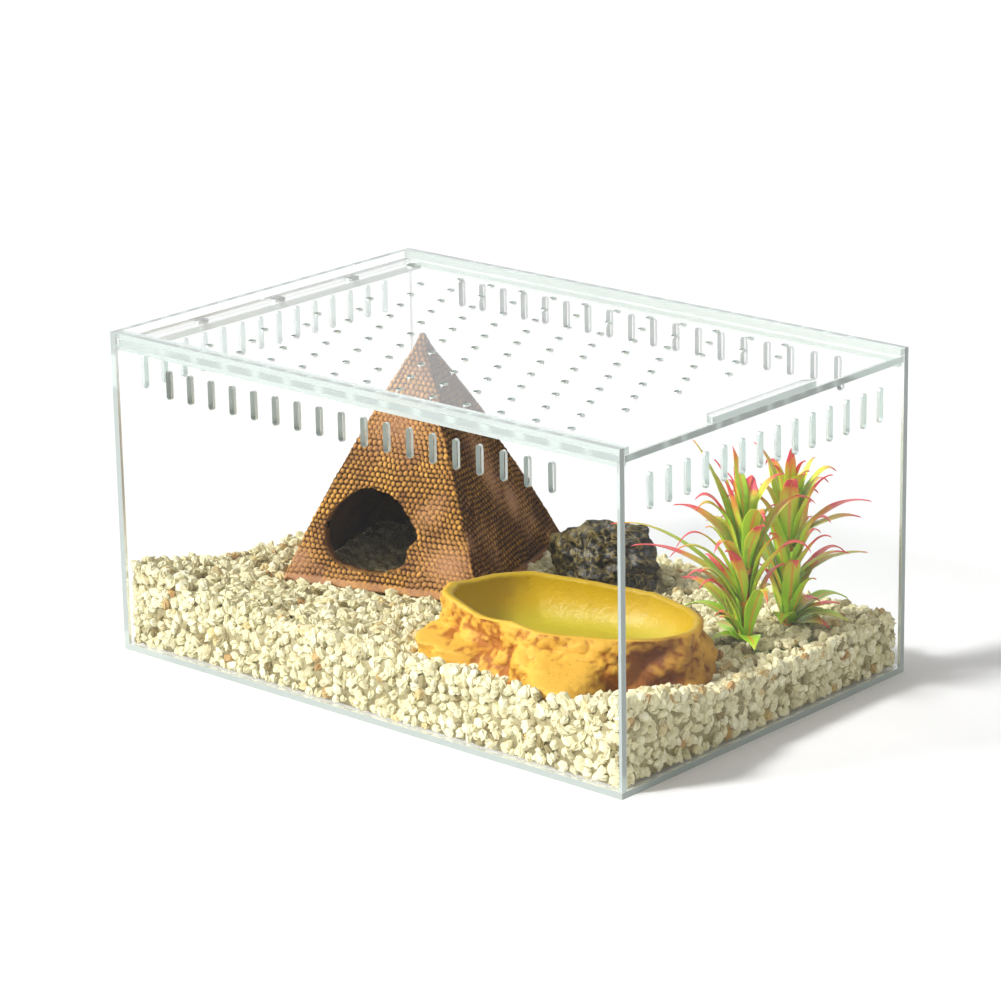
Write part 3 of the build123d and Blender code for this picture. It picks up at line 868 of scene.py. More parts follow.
def hide_wear(across, rise, side, slow):
    """Wear from 0 to 1: the high parts of slow noise, and a bell over each worn patch."""
    worn = np.clip((slow - 0.6) * 5, 0, 1) * 0.5
    for number, u, v, half_u, half_v in WORN_PATCHES:
        patch = np.exp(-(((across - u) / half_u) ** 2) - ((rise - v) / half_v) ** 2)
        worn = np.maximum(worn, np.where(side == number, patch * (0.75 + 0.5 * (slow - 0.5)), 0))
    return np.clip(worn, 0, 1)


def hide_surface(pebble, swell, pitch):
    """The pyramid before its door is cut: points, relief with each side's painted shade, wear and the side
    of each column.

    A side's half width falls evenly with height, bowed by a power of a sine and blunted at the
    apex; the pebbles stand out square to the slope. Rows run down the outside, under the wall
    and up the inside to its own apex, so the shell is closed.
    """
    face = np.repeat(np.arange(4), HIDE_COLUMNS)
    f = np.concatenate([np.arange(count) / count * 2 - 1 for count in HIDE_COLUMNS])
    lean = HIDE_SIDE / 2 / HIDE_HEIGHT
    slope = math.hypot(1, lean)
    outer_z = np.linspace(HIDE_HEIGHT, 0, 178)
    inner_top = HIDE_HEIGHT - HIDE_WALL / lean
    inner_z = np.concatenate([[0, 3], np.linspace(6, 47, 25), np.linspace(52, inner_top - 0.5, 5)])
    z = np.concatenate([outer_z, inner_z])
    inside = np.repeat([False, True], (len(outer_z), len(inner_z)))
    bow = swell * np.sin(np.clip(z / HIDE_HEIGHT, 0, 1) * math.pi) ** 0.8
    blunt = 1.5 * np.clip((z - 100) / 9, 0, 1) ** 2
    half = (HIDE_HEIGHT - z) * lean + blunt - 0.9 + np.where(inside, 1.1 - HIDE_WALL, bow)
    half = np.maximum(half, 0.0)
    half[[0, -1]] = 0.0
    inside = inside[:, None]
    across = f[None] * half[:, None]
    rise = np.broadcast_to(z[:, None], across.shape)
    side = np.broadcast_to(face[None] * 1.0, across.shape)
    grain = pebble_relief(across, rise * slope, side, pitch)
    edge = np.clip((half[:, None] - np.abs(across)) / 0.9, 0, 1)
    slow = layered_noise(np.stack([across / 19, rise / 19, side * 5.0], -1), 2)
    worn = hide_wear(across, rise, side, slow)
    band = np.clip((3.4 - rise) / 0.5, 0, 1)
    grain = grain * (1 - band) + 0.75 * band
    out = pebble * grain * (0.35 + 0.65 * edge) * (1 - 0.65 * worn) + 1.1 * (slow - 0.5) * edge
    out = np.where(inside, 0.5 * (slow - 0.5) * edge, out)
    out[[0, -1]] = 0

    # Each side is turned a quarter from the last, starting with the front
    normal = np.array([[0, -1], [1, 0], [0, 1], [-1, 0]], float)[face]
    tangent = np.array([[1, 0], [0, 1], [-1, 0], [0, -1]], float)[face]
    reach = half[:, None] + out / slope
    flat = tangent[None] * across[..., None] + normal[None] * reach[..., None]
    points = np.concatenate([flat, (rise + out * lean / slope)[..., None]], -1)
    # Each side's relief is scaled down by its painted shade, the right side most, so a shaded side shows
    # more crevice colour
    relief_in_side_shade = np.clip(grain * (1 - 0.6 * worn) * HIDE_SIDE_SHADE[face][None] + worn * 0.4, 0, 1)
    relief = np.where(inside, 0.2, relief_in_side_shade)
    rubbed = np.where(inside, 0.0, np.clip(worn + 0.5 * band, 0, 1))
    return points, relief, rubbed, face


def cut_door(points, face):
    """Opens the door: the faces left, the points of the rim, and their places on the outline.

    A face goes where its middle lies inside the outline, on the front side only, and the points
    that it shared with a face that stays move out along their bearing onto the outline.
    """
    curve = closed_curve(DOOR, np.linspace(0, 1, 360, endpoint=False))
    middle = curve.mean(axis=0)
    chips = noise(on_plane(curve / 2.6), 14)[:, None]
    curve = (middle + (curve - middle) * (1 + 0.05 * (chips - 0.5))) - middle
    rows, cols = points.shape[:2]
    quads = grid_quads(rows, cols, wrap=True)
    away = (points[..., [0, 2]] - middle).reshape(-1, 2)
    front = np.broadcast_to(face[None] == 0, (rows, cols)).ravel()
    centre = away[quads].mean(axis=1)
    far = outline_radius(curve, np.arctan2(centre[:, 1], centre[:, 0]))
    gone = (np.hypot(*centre.T) < far) & front[quads].all(axis=1)
    kept = quads[~gone]
    rim = np.intersect1d(np.unique(quads[gone]), np.unique(kept))
    bearing = np.arctan2(away[rim, 1], away[rim, 0])
    reach = outline_radius(curve, bearing)
    return kept, rim, middle[0] + reach * np.cos(bearing), middle[1] + reach * np.sin(bearing)


class HideSettings(bpy.types.PropertyGroup):
    """Relief and colours of the hide."""

    pebble: size_setting("Pebble height", "Height of the raised pebbles", 1.2, 0, 3)
    swell: size_setting("Swell", "Bow of the sides at half height", 2.6, 0, 5)
    pitch: size_setting("Course pitch", "Height of one course", 2.45, 1, 9)
    crevice: colour_setting("Crevice", "Colour between the pebbles", (0.035, 0.014, 0.003))
    body: colour_setting("Body", "Main brown", (0.36, 0.175, 0.055))
    gold: colour_setting("Highlight", "Dry-brushed gold", (0.72, 0.42, 0.1))
    worn: colour_setting("Worn", "Pinkish brown of the rubbed patches", (0.5, 0.27, 0.15))


class TERRARIUM_OT_hide(bpy.types.Operator):
    """Builds the hollow pyramid hide with its pebbled courses and worn door"""

    bl_idname = "terrarium.hide"
    bl_label = "Pyramid hide"

    def execute(self, context):
        settings = context.scene.terrarium_hide
        resin = hide_material("hide_resin", *colours(settings, "crevice", "body", "gold", "worn"))
        points, relief, rubbed, face = hide_surface(settings.pebble, settings.swell, settings.pitch)
        faces, rim, rim_x, rim_z = cut_door(points, face)
        points = points.reshape(-1, 3)
        points[rim, 0] = rim_x
        points[rim, 2] = rim_z
        relief.ravel()[rim] = 0.36
        points[:, :2] = spun(points[:, :2], HIDE_TURN)
        hide = new_piece(
            "pyramid_hide", points + HIDE_AT, faces, resin, "hide",
            ("hide_shell",), values={"relief": relief, "worn": rubbed},
        )
        face_outwards(hide, bridged=True)
        return {"FINISHED"}


# Dish

DISH_COLUMNS = 420


def off_bearing(bearing, centre):
    """How far each bearing in degrees is from a centre, between -180 and 180."""
    return (bearing - centre + 180) % 360 - 180


def ridge(bearing, centre, width):
    """A roof over the bearing in degrees, 1 at its sharp crest and 0 past its width."""
    return np.clip(1 - np.abs(off_bearing(bearing, centre)) / width, 0, 1) ** 1.2


def lobe(bearing, centre, width):
    """A bell over the bearing in degrees, 1 at its centre and near 0 past twice its width."""
    return np.exp(-((off_bearing(bearing, centre) / width) ** 2))


def dish_rows(base, mouth, bearing, wobble):
    """Plan and height of the rows: under the dish, up the rock, over the rim and into the bowl.

    The rock leans in from the base outline to the mouth outline as a power of its height, but
    late at a ledge and by an eased step at a buttress. The rim bulges by half a sine, and the
    bowl narrows and falls by powers to its flat floor. Returns the count of rock rows as well.
    """
    ledge = lobe(bearing, 222, 27)
    front = lobe(bearing, 301, 17) * (1 - ledge)
    right = lobe(bearing, 5, 20)
    tall = lobe(bearing, 205, 16) - 1.9 * lobe(bearing, 252, 17) + 1.1 * lobe(bearing, 284, 9)
    crest = DISH_RIM - 0.045 * mouth[:, 0] + tall + 1.2 * (wobble - 0.5)
    under = np.linspace(0, 1, 8)[:, None, None] * base[None]
    s = np.linspace(0, 1, 61)[1:, None]
    step = smoothstep(np.clip((s - 0.4) / 0.14, 0, 1))
    slope = smoothstep(np.clip((s - 0.26) / 0.5, 0, 1))
    inward = ledge * step + front * slope + (1 - ledge - front) * s ** (0.55 + 0.5 * right)
    wall = base[None] * (1 - inward[..., None]) + mouth[None] * inward[..., None]
    lip = np.linspace(0, 1, 9)[1:, None]
    rim = mouth[None] * (1 - 0.085 * lip[..., None])
    fall = np.linspace(0, 1, 30)[1:, None]
    bowl = mouth[None] * (0.915 - 0.3 * fall[..., None] ** 1.6)
    floor = mouth[None] * np.linspace(0.615, 0, 14)[1:, None, None]
    height = np.concatenate([
        np.zeros((len(under), len(base))), s * crest, crest + 0.8 * np.sin(lip * math.pi),
        crest + (DISH_FLOOR - crest) * (1 - (1 - fall) ** 1.7),
        np.full((len(floor), len(base)), DISH_FLOOR),
    ])
    return np.concatenate([under, wall, rim, bowl, floor]), height, len(under), s


def dish_surface():
    """Points and painted values of the dish.

    Strata, blocks and crumble are layered noise, creases are where two noises cross, and ridges
    heave the rock out at its buttresses. All of it fades out at the base line and the rim.
    """
    t = np.arange(DISH_COLUMNS) / DISH_COLUMNS
    base = closed_curve(DISH_BASE, t)
    bearing = np.degrees(np.arctan2(base[:, 1], base[:, 0])) % 360
    wobble = layered_noise(on_plane(base / 16), 15)
    mouth = closed_curve(DISH_MOUTH, t) * (1 + 0.045 * (wobble[:, None] - 0.5))
    flat, z, under, s = dish_rows(base, mouth, bearing, wobble)
    rock = slice(under, under + len(s))
    count = rock.stop
    at = np.concatenate([flat, z[..., None]], -1)
    strata = 1 - np.abs(2 * layered_noise(at * np.array([0.045, 0.045, 0.16]), 21) - 1)
    blocks = layered_noise(at * 0.052, 27, 2)
    crumble = layered_noise(at * 0.17, 31)
    creases = [
        np.abs(noise(at * scale, seed) - noise(at * scale + 5.5, seed + 1)) - 0.22
        for scale, seed in ((0.07, 41), (0.17, 43))
    ]
    push = 2.8 * (strata - 0.8) + 4.4 * (blocks - 0.5) + 1.6 * (crumble - 0.5)
    grit = layered_noise(at * 0.45, 51, 3) - 0.5
    push += 7.5 * creases[0] + 2.6 * creases[1] + 0.9 * grit
    mask = np.zeros(len(flat))
    mask[rock] = np.clip(np.sin(s[:, 0] * math.pi), 0, 1) ** 0.6
    cave = np.exp(-((base[None, :, 0] - 52) ** 2 + (base[None, :, 1] + 8) ** 2) / 70)
    hollow = cave * np.exp(-((z / 8.0) ** 2))
    hollow[:under] *= np.linspace(0, 1, under)[:, None]
    heave = np.zeros_like(z)
    heave[rock] = (
        5.5 * ridge(bearing, 304, 24) * (1 - s) ** 0.6 * np.clip(s / 0.3, 0, 1)
        + 4.0 * ridge(bearing, 222, 26) * (s < 0.46)
        + 3.0 * ridge(bearing, 8, 26) * (1 - s)
        - (6.0 * lobe(bearing, 330, 13) + 4.5 * lobe(bearing, 266, 15)) * np.sin(s * math.pi)
    )
    push = push * mask[:, None] + heave
    push[:count] -= (7.5 * hollow)[:count]
    outward = base / np.linalg.norm(base, axis=1, keepdims=True)
    flat = flat + outward[None] * push[..., None]
    points = np.concatenate([flat, z[..., None]], -1) + DISH_AT
    points[..., 1] = np.maximum(points[..., 1], 1.5 - BED_SIDE)

    # What the paint goes by: inside of the bowl, relief, height, and brown blotches with painted shade on
    # the side turned from the sun
    inside = np.zeros(z.shape)
    inside[count + 3:] = 1
    inside[count:count + 3] = np.array([0.15, 0.4, 0.75])[:, None]
    # Relief falls in creases, on low rock and in the cave, which the paint darkens as painted shade; grit
    # breaks it up
    relief = np.clip(0.47 + 0.1 * push + 0.7 * creases[1] + 1.1 * grit - 0.9 * hollow, 0, 1)
    relief = np.where(inside > 0.1, 1.0, relief)
    # Painted shade on the side turned from the sun, deeper towards the bottom, and painted light on the sun
    # side; the blocks noise adds brown blotches
    away_from_sun = np.clip((0.748 * base[:, 0] + 0.664 * base[:, 1] + 4) / 34, 0, 1)[None]
    stain = 0.62 * away_from_sun - 0.1 + 0.9 * (0.5 - blocks) + 0.25 * (1 - z / 27) * away_from_sun
    height = np.clip(z / (DISH_RIM + 2), 0, 1)
    return points, {"bowl": inside, "relief": relief, "height": height, "stain": stain}


class DishSettings(bpy.types.PropertyGroup):
    """Colours of the dish."""

    bowl: colour_setting("Bowl", "Yellow of the bowl wall", (0.56, 0.36, 0.0))
    bowl_deep: colour_setting("Bowl floor", "Paler yellow-green of the floor", (0.5, 0.43, 0.03))
    # The light rock colour, a little brighter, is also the painted light on the sun side, and the dark rock
    # colour the painted shade on the side turned from it
    rock_light: colour_setting("Light rock", "Orange of the raised rock", (0.72, 0.4, 0.045))
    rock_dark: colour_setting("Dark rock", "Brown of the hollows", (0.26, 0.09, 0.008))


class TERRARIUM_OT_dish(bpy.types.Operator):
    """Builds the resin dish: a smooth bowl in a rough broken-rock body"""

    bl_idname = "terrarium.dish"
    bl_label = "Dish"

    def execute(self, context):
        paints = colours(context.scene.terrarium_dish, "bowl", "bowl_deep", "rock_light", "rock_dark")
        resin = dish_material("dish_resin", *paints)
        points, values = dish_surface()
        dish = new_piece(
            "resin_dish", points.reshape(-1, 3), grid_quads(len(points), DISH_COLUMNS, wrap=True),
            resin, "dish", ("feeding_dish",), values=values,
        )
        face_outwards(dish)
        return {"FINISHED"}


# Rock

# Half sizes and middle of the broken stone, and the box that it stays in
ROCK_HALF = np.array([29.0, 18.0, 22.0])
ROCK_MIDDLE = np.array([0.5, -1.0, 13.0])
ROCK_LOW = np.array([-30, -20, 0.0])
ROCK_HIGH = np.array([31, 18, 33.0])


def rock_surface(rows, cols):
    """Points and relief of the rock: the nearest of random planes along each ray from its middle.

    Layered noise and ridges roughen it. Below the middle the plan keeps its breadth by a power
    of the sine, so that the rock stands on a broad foot.
    """
    polar = np.linspace(0, math.pi, rows)[:, None]
    turn = (np.arange(cols) / cols * 2 * math.pi)[None]
    ray = np.stack([
        np.sin(polar) * np.cos(turn), np.sin(polar) * np.sin(turn), np.cos(polar) * np.ones_like(turn),
    ], -1)
    stout = np.where(polar > math.pi / 2, np.clip(np.sin(polar), 1e-9, 1) ** -0.6, 1.0)
    rng = np.random.default_rng(17)
    planes = rng.normal(size=(34, 3))
    planes /= np.linalg.norm(planes, axis=1, keepdims=True)
    reach = rng.uniform(0.72, 1.0, 34)
    radius = (reach / np.maximum(ray @ planes.T, 1e-3)).min(axis=-1)
    craggy = layered_noise(ray * 3.6 + 9, 5, 5)
    ridges = 1 - np.abs(2 * layered_noise(ray * 2.3 + 4, 8, 3) - 1)
    radius = np.minimum(radius, 1.1) * (0.94 + 0.3 * (craggy - 0.5) + 0.22 * (ridges - 0.8))
    points = ray * radius[..., None] * ROCK_HALF
    points[..., :2] *= stout[..., None]
    return np.clip(points + ROCK_MIDDLE, ROCK_LOW, ROCK_HIGH), 0.5 * craggy + 0.5 * ridges


class TERRARIUM_OT_rock(bpy.types.Operator):
    """Builds the dark broken rock from cut planes and noise"""

    bl_idname = "terrarium.rock"
    bl_label = "Dark rock"

    def execute(self, context):
        stone = rock_material("dark_rock", (0.005, 0.0045, 0.003), (0.2, 0.155, 0.05))
        rows, cols = 90, 180
        points, relief = rock_surface(rows, cols)
        rock = new_piece(
            "broken_rock", (points + ROCK_AT).reshape(-1, 3), grid_quads(rows, cols, wrap=True), stone,
            "rock", ("accent_rock",), values={"relief": relief},
        )
        face_outwards(rock)
        return {"FINISHED"}


# Plant

FRONT_STEM = PLANT_AT + np.array([0, -STEM_SPREAD])
REAR_STEM = PLANT_AT + np.array([0, STEM_SPREAD])
LOW = FOOT_TOP + 2.0
TOP = STEM_FOOT + STEM_HEIGHT - 2.0

# One spray per collar: node, stem, level, then heading, reach, rise, width of each leaf
SPRAYS = (
    ("front_low_leaves", FRONT_STEM, LOW,
     ((172, 20, 4, 13), (188, 34, 24, 8), (166, 32, 32, 9), (255, 15, 14, 7))),
    ("front_mid_leaves", FRONT_STEM, LOW + 18,
     ((202, 53, 22, 5), (204, 60, 32, 3.5), (150, 26, 34, 8), (285, 22, 30, 6))),
    ("front_high_leaves", FRONT_STEM, LOW + 33,
     ((200, 34, 27, 7), (198, 25, 58, 4.5), (190, 20, 46, 6), (330, 20, 26, 6))),
    ("front_top_leaves", FRONT_STEM, TOP,
     ((152, 13, 24, 6), (118, 12, 20, 9), (156, 12, 34, 5), (60, 18, 22, 5))),
    ("rear_low_leaves", REAR_STEM, LOW,
     ((10, 22, 2, 12), (32, 24, 10, 7), (350, 20, 26, 6), (150, 26, 26, 7))),
    ("rear_mid_leaves", REAR_STEM, LOW + 18,
     ((54, 38, 12, 6), (32, 28, 16, 5), (12, 22, 26, 6), (190, 24, 24, 6))),
    ("rear_high_leaves", REAR_STEM, LOW + 36,
     ((47, 38, 20, 6), (36, 33, 14, 8), (6, 24, 38, 6), (100, 20, 24, 6))),
    ("rear_top_leaves", REAR_STEM, TOP,
     ((316, 16, 34, 5), (340, 14, 20, 9), (200, 16, 30, 5))),
)

# Broad green leaves that lie on the gravel, more than the solids carry
BASE_LEAVES = {
    "front_low_leaves": ((226, 16, 1, 10), (316, 22, 3, 11), (196, 30, 12, 8)),
    "rear_low_leaves": ((24, 28, 3, 12), (60, 30, 8, 9), (300, 20, 6, 10)),
}
LEAF_ROWS, LEAF_COLUMNS = 25, 12


def leaf_surface(stem, level, heading, reach, rise, width, seed, droop):
    """A closed leaf blade on a grid of along by around, with its place along and across.

    Its midrib is a cubic that arches from the collar to the tip, the more so the larger its
    droop; its half width swells as a sine bent towards the root; the section is a shallow V,
    folded up at the sides and thin at the edges.
    """
    s = np.linspace(0, 1, LEAF_ROWS)[:, None]
    v = np.arange(LEAF_COLUMNS) / LEAF_COLUMNS * 2 * math.pi
    chord = math.hypot(reach, rise)
    bend = droop * min(1.0, 1.2 * reach / max(rise, 1.0))
    knots = np.array([
        [2.1, 0],
        [reach * 0.3, rise * 0.3 + bend * (rise * 0.15 + chord * 0.06)],
        [reach * 0.68, rise * 0.68 + bend * (rise * 0.17 + chord * 0.07)],
        [reach, rise],
    ])
    coefficients = np.linalg.solve(np.vander(np.array([0, 0.34, 0.7, 1.0]), 4), knots)
    rib = np.vander(s[:, 0], 4) @ coefficients
    tangent = np.gradient(rib, axis=0)
    tangent /= np.linalg.norm(tangent, axis=1, keepdims=True)
    wave = np.random.default_rng(seed).uniform(0, 6.28)
    half = width / 2 * np.clip(np.sin(math.pi * s**0.72), 0.0, 1) ** 1.15 + 0.3 * (1 - s)
    half[-1] = 0.0
    round_leaf = np.cos(v)[None]
    side = round_leaf * half * (1 + 0.05 * np.sin(s * 22 + wave))
    fold = 0.28 * np.abs(side) + 0.35 * np.sin(s * 9 + wave + round_leaf * 1.2) * half * 0.3
    thick = 0.32 * np.sin(v)[None] * (1 - 0.6 * np.abs(round_leaf)) * np.clip(8 * np.sin(math.pi * s), 0, 1)
    lift = fold + thick - 0.3
    out = np.array([math.cos(math.radians(heading)), math.sin(math.radians(heading))])
    over = np.array([-out[1], out[0]])
    x = rib[:, :1] - tangent[:, 1:] * lift
    z = rib[:, 1:] + tangent[:, :1] * lift
    sway = 0.04 * reach * np.sin(s * 3 + wave) * s
    flat = x[..., None] * out + (side + sway)[..., None] * over + stem
    points = np.concatenate([flat, (z + level)[..., None]], -1)
    return points, np.broadcast_to(s, side.shape), np.broadcast_to(np.abs(round_leaf), side.shape)


def tube_surface(stem, radius, height, cols):
    """A surface of revolution about a stem, from the radius and height of each of its rows."""
    v = np.linspace(0, 2 * math.pi, cols, endpoint=False)
    return np.stack([
        radius * np.cos(v) + stem[0], radius * np.sin(v) + stem[1], height * np.ones_like(v),
    ], -1)


def collar_surface(stem, level, cols):
    """The ring that carries a spray: an upright ellipse carried round the stem."""
    turn = np.linspace(0, 2 * math.pi, 10, endpoint=False)[:, None]
    ring = tube_surface(stem, 2.15 + 0.62 * np.cos(turn), level + 1.9 * np.sin(turn), cols)
    return np.vstack([ring, ring[:1]])


def stem_surface(stem, rows, cols):
    """A tube that swells at evenly spaced joints, rounded at both ends."""
    s = np.linspace(0, 1, rows)[:, None]
    ends = np.sin(np.clip(s, 0.002, 0.998) * math.pi) ** 0.08
    radius = (1.15 + 0.24 * np.abs(np.sin(s * 26)) ** 6) * ends
    radius[[0, -1]] = 0.0
    return tube_surface(stem, radius, STEM_FOOT + s * STEM_HEIGHT, cols)


def spray_leaves(number, node, level, leaves):
    """Every leaf of a spray with its droop and flush: those of the solid, then finer ones."""
    top = level > TOP - 1
    broad = BASE_LEAVES.get(node, ())
    extra = [
        (heading + 38 + 17 * k, reach * 0.7, rise * (0.5 if top else 0.8) + 8, width * 0.8)
        for k, (heading, reach, rise, width) in enumerate(leaves)
    ]
    if not top:
        extra += [(35 + 47 * number + 97 * k, 18 + 5 * k, 36 - 3 * k, 8.6 - 0.6 * k) for k in range(4)]
    for k, leaf in enumerate([*leaves, *extra, *broad]):
        flush = -0.9 if leaf in broad else ((k * 37 + number * 53) % 11) / 11 - 0.3
        yield k, leaf, 1.0 if k < len(leaves) else 1.7, flush


class PlantSettings(bpy.types.PropertyGroup):
    """Colours of the plastic plant."""

    green: colour_setting("Green", "Lime green of the leaf roots", (0.42, 0.74, 0.03))
    yellow: colour_setting("Yellow", "Middle of the leaves", (0.66, 0.68, 0.06))
    pink: colour_setting("Pink", "Tips of the leaves", (0.86, 0.08, 0.12))


class TERRARIUM_OT_plant(bpy.types.Operator):
    """Builds the plastic plant: stems, leaf sprays and the weighted foot"""

    bl_idname = "terrarium.plant"
    bl_label = "Plastic plant"

    def execute(self, context):
        settings = context.scene.terrarium_plant
        leaf_plastic = leaf_material("leaf_plastic", *colours(settings, "green", "yellow", "pink"))
        orange = plain_plastic("stem_plastic", (0.78, 0.13, 0.02), (0.92, 0.3, 0.05), 0.4)
        for number, (node, stem, level, leaves) in enumerate(SPRAYS):
            parts, faces, offset = [], [], 0
            for k, leaf, droop, flush in spray_leaves(number, node, level, leaves):
                points, along, across = leaf_surface(stem, level, *leaf, 100 * number + k, droop)
                points[..., :2] = np.minimum(points[..., :2], (146.0, 96.0))
                parts.append((points, along, across, np.full(along.shape, flush)))
                faces.append(grid_quads(*along.shape, wrap=True) + offset)
                offset += along.size
            collar = collar_surface(stem, level, 24)
            plain = np.zeros(collar.shape[:2])
            parts.append((collar, plain + 0.2, plain, plain))
            faces.append(grid_quads(*plain.shape, wrap=True) + offset)
            points, along, across, flush = (
                np.concatenate([part.reshape(-1, *part.shape[2:]) for part in kind])
                for kind in zip(*parts)
            )
            piece = new_piece(
                node + "_blades", points, np.vstack(faces), leaf_plastic, "plant", (node,),
                values={"along": along, "across": across, "flush": flush},
            )
            face_outwards(piece)
        for node, stem in (("front_stem", FRONT_STEM), ("rear_stem", REAR_STEM)):
            tube = stem_surface(stem, 80, 20)
            face_outwards(new_piece(
                node + "_tube", tube.reshape(-1, 3), grid_quads(80, 20, wrap=True), orange, "plant",
                (node,),
            ))

        # Gravel glued over the foot, which keeps its own solid
        rng = np.random.default_rng(23)
        flat = jittered(rng, (-FOOT_RADIUS, -FOOT_RADIUS), (FOOT_RADIUS, FOOT_RADIUS), 2.9)
        flat = flat[np.hypot(*flat.T) < FOOT_RADIUS] + PLANT_AT
        z = FOOT_TOP + 0.8 + rng.uniform(-0.6, 0.9, len(flat))
        stone = crushed_stone(context.scene)
        scatter_grains("gravel_on_foot", np.column_stack([flat, z]), 5.0, 29, stone, "plant")
        paint_node("plant_foot", plain_plastic("foot_plastic", (0.06, 0.1, 0.03), (0.12, 0.18, 0.06), 0.6))
        return {"FINISHED"}


# Stage, lamps and camera

# The photograph's camera: turns in radians, focal length in pixels of its width, place in metres
CAMERA_YAW, CAMERA_PITCH, CAMERA_ROLL = 0.7258879214, 0.3056961081, -0.0175110351
CAMERA_FOCAL = 3898.794840
CAMERA_AT = (1.1167122794743777, -1.2623642951977297, 0.6087896225356624)
PHOTO_WIDTH = 1001.0
SENSOR = 36.0
FLOOR_DROP = 0.00015


class StageSettings(bpy.types.PropertyGroup):
    """Floor colour and lamp levels."""

    floor: colour_setting("Floor", "Colour of the floor and backdrop", (0.95, 0.95, 0.95))
    sun: bpy.props.FloatProperty(
        name="Sun", description="Strength of the sun from the front left", default=3.7, min=0,
    )
    fill: bpy.props.FloatProperty(
        name="Fill lamp", description="Power of the weak lamp on the right", default=1.5, min=0,
        unit="POWER",
    )
    sky: bpy.props.FloatProperty(name="Sky", description="Level of the even light", default=0.38, min=0)


def placed(side, up, back, place):
    """The placing matrix whose own axes point along three directions."""
    turn = Matrix(np.array([side, up, back]).T.tolist()).to_4x4()
    turn.translation = place
    return turn


def facing(place, target):
    """The placing matrix of a lamp at a place, aimed at a target, both in metres."""
    aim = (target - place) / np.linalg.norm(target - place)
    side = np.cross(aim, [0, 0, 1.0])
    side /= np.linalg.norm(side)
    return placed(side, np.cross(side, aim), -aim, place)


def floor_surface(rows, cols):
    """Level floor that rises behind the box into a backdrop along a quarter of a circle."""
    s = np.linspace(0, 1, rows)[:, None]
    arc = np.clip((s - 0.6) / 0.4, 0, 1) * math.pi / 2
    path_y = np.where(s < 0.6, -3.0 + s / 0.6 * 6.0, 3.0 + np.sin(arc))
    path_z = np.where(s < 0.6, 0.0, 1 - np.cos(arc)) - FLOOR_DROP
    away = np.array([-math.sin(CAMERA_YAW), math.cos(CAMERA_YAW)])
    across = np.array([math.cos(CAMERA_YAW), math.sin(CAMERA_YAW)])
    flat = path_y[..., None] * away + np.linspace(-4, 4, cols)[None, :, None] * across
    return np.concatenate([flat, np.broadcast_to(path_z, flat.shape[:2])[..., None]], -1)


def light_world(scene, sky):
    """White surround for what sees it straight, in metal or through glass, and a level sky light."""
    world = bpy.data.worlds.new("studio")
    scene.world = world
    world.use_nodes = True
    tree = world.node_tree
    shade = tree.nodes["Background"]
    feed(tree, shade.inputs["Color"], (1, 1, 1))
    path = add_node(tree, "ShaderNodeLightPath").outputs
    seen = reckon(tree, "MAXIMUM", path["Is Camera Ray"], path["Is Glossy Ray"])
    seen = reckon(tree, "MAXIMUM", seen, path["Is Transmission Ray"])
    level = add_node(tree, "ShaderNodeMapRange", Value=seen, To_Min=sky, To_Max=1.0)
    feed(tree, shade.inputs["Strength"], level.outputs["Result"])


def photo_camera():
    """The camera at the photograph's place, from its yaw, pitch, roll, focal length and position."""
    level = math.cos(CAMERA_PITCH)
    away = np.array([-math.sin(CAMERA_YAW) * level, math.cos(CAMERA_YAW) * level, -math.sin(CAMERA_PITCH)])
    side = np.cross(away, [0, 0, 1.0])
    side /= np.linalg.norm(side)
    up = np.cross(side, away)
    right = math.cos(CAMERA_ROLL) * side + math.sin(CAMERA_ROLL) * up
    above = -math.sin(CAMERA_ROLL) * side + math.cos(CAMERA_ROLL) * up
    lens = bpy.data.cameras.new("photo_camera")
    lens.sensor_fit = "HORIZONTAL"
    lens.sensor_width = SENSOR
    lens.lens = CAMERA_FOCAL / PHOTO_WIDTH * SENSOR
    lens.clip_start = 0.05
    lens.clip_end = 50.0
    camera = add_object("photo_camera", lens)
    camera.matrix_world = placed(right, above, -away, CAMERA_AT)
    return camera


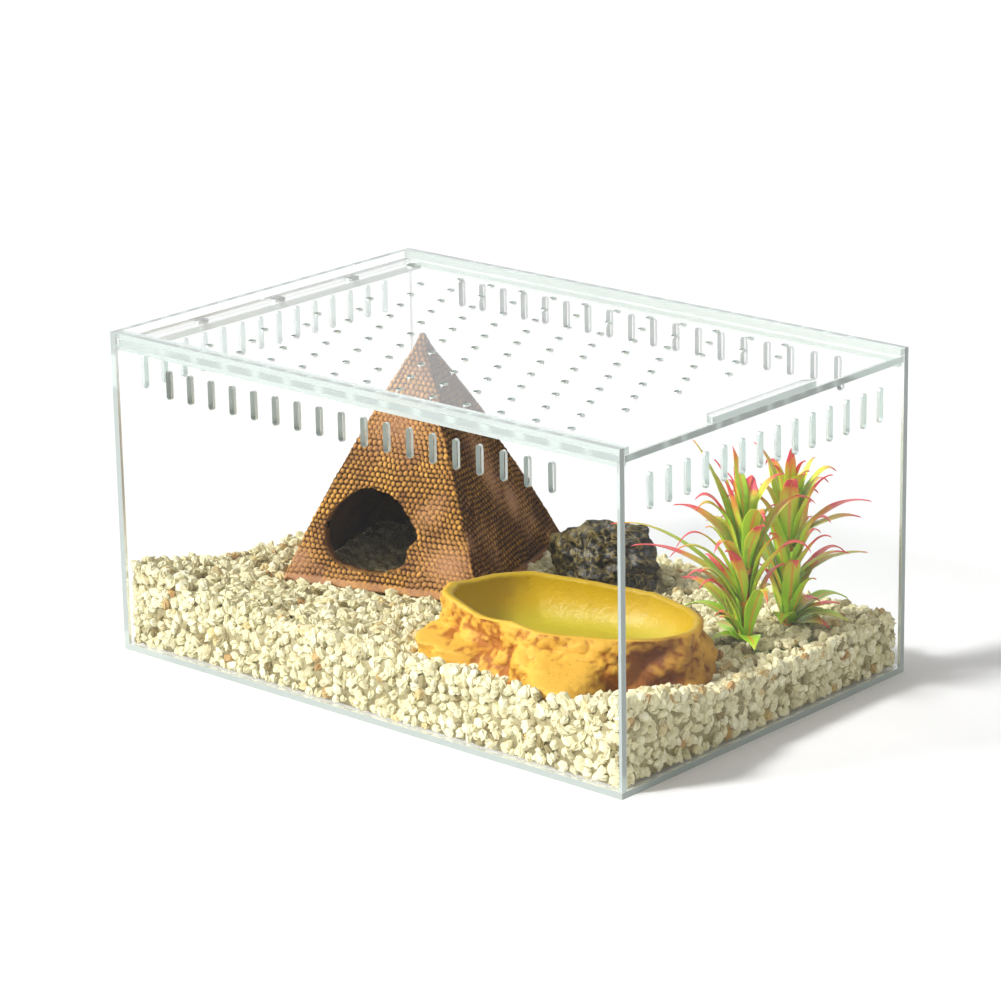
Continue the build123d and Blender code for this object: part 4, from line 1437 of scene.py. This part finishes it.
class TERRARIUM_OT_stage(bpy.types.Operator):
    """Adds the pale floor, the soft lamps, the white surround and the camera"""

    bl_idname = "terrarium.stage"
    bl_label = "Stage and camera"

    def execute(self, context):
        scene = context.scene
        settings = scene.terrarium_stage
        mesh = bpy.data.meshes.new("stage_floor")
        mesh.from_pydata(floor_surface(60, 20).reshape(-1, 3).tolist(), [], grid_quads(60, 20).tolist())
        mesh.materials.append(stage_material("stage_paper", *colours(settings, "floor")))
        floor = add_object("stage_floor", mesh)
        light_world(scene, settings.sky)

        sun = bpy.data.lights.new("sun_lamp", "SUN")
        sun.energy = settings.sun
        sun.angle = math.radians(9)
        add_object("sun_lamp", sun).matrix_world = facing(np.array([-0.42, -0.66, 0.62]), np.zeros(3))
        fill = bpy.data.lights.new("fill_lamp", "AREA")
        fill.shape = "SQUARE"
        fill.size = 0.9
        fill.energy = settings.fill
        fill.color = (1.0, 0.97, 0.8)
        holder = add_object("fill_lamp", fill)
        holder.matrix_world = facing(np.array([1.6, -0.5, 0.9]), np.array([0, 0, 0.06]))
        scene.camera = photo_camera()
        scene.view_settings.view_transform = "Standard"
        return {"FINISHED"}


class TERRARIUM_PT_panel(bpy.types.Panel):
    """Lists the pieces of the reptile box"""

    bl_label = "Reptile box"
    bl_idname = "TERRARIUM_PT_panel"
    bl_space_type = "VIEW_3D"
    bl_region_type = "UI"
    bl_category = "Reptile box"

    def draw(self, context):
        for operator in OPERATORS:
            self.layout.operator(operator.bl_idname)
        for name, group in SETTINGS:
            box = self.layout.box()
            for key in group.__annotations__:
                box.prop(getattr(context.scene, name), key)


OPERATORS = (
    TERRARIUM_OT_sheets,
    TERRARIUM_OT_magnets,
    TERRARIUM_OT_gravel,
    TERRARIUM_OT_hide,
    TERRARIUM_OT_dish,
    TERRARIUM_OT_rock,
    TERRARIUM_OT_plant,
    TERRARIUM_OT_stage,
)
SETTINGS = (
    ("terrarium_sheets", SheetSettings),
    ("terrarium_gravel", GravelSettings),
    ("terrarium_hide", HideSettings),
    ("terrarium_dish", DishSettings),
    ("terrarium_plant", PlantSettings),
    ("terrarium_stage", StageSettings),
)


def register():
    for name, group in SETTINGS:
        bpy.utils.register_class(group)
        setattr(bpy.types.Scene, name, bpy.props.PointerProperty(type=group))
    for operator in OPERATORS:
        bpy.utils.register_class(operator)
    bpy.utils.register_class(TERRARIUM_PT_panel)


def unregister():
    bpy.utils.unregister_class(TERRARIUM_PT_panel)
    for operator in reversed(OPERATORS):
        bpy.utils.unregister_class(operator)
    for name, group in reversed(SETTINGS):
        delattr(bpy.types.Scene, name)
        bpy.utils.unregister_class(group)


def main():
    register()
    bpy.ops.terrarium.sheets()
    bpy.ops.terrarium.magnets()
    bpy.ops.terrarium.gravel()
    bpy.ops.terrarium.hide()
    bpy.ops.terrarium.dish()
    bpy.ops.terrarium.rock()
    bpy.ops.terrarium.plant()
    bpy.ops.terrarium.stage()


if __name__ == "__main__":
    main()
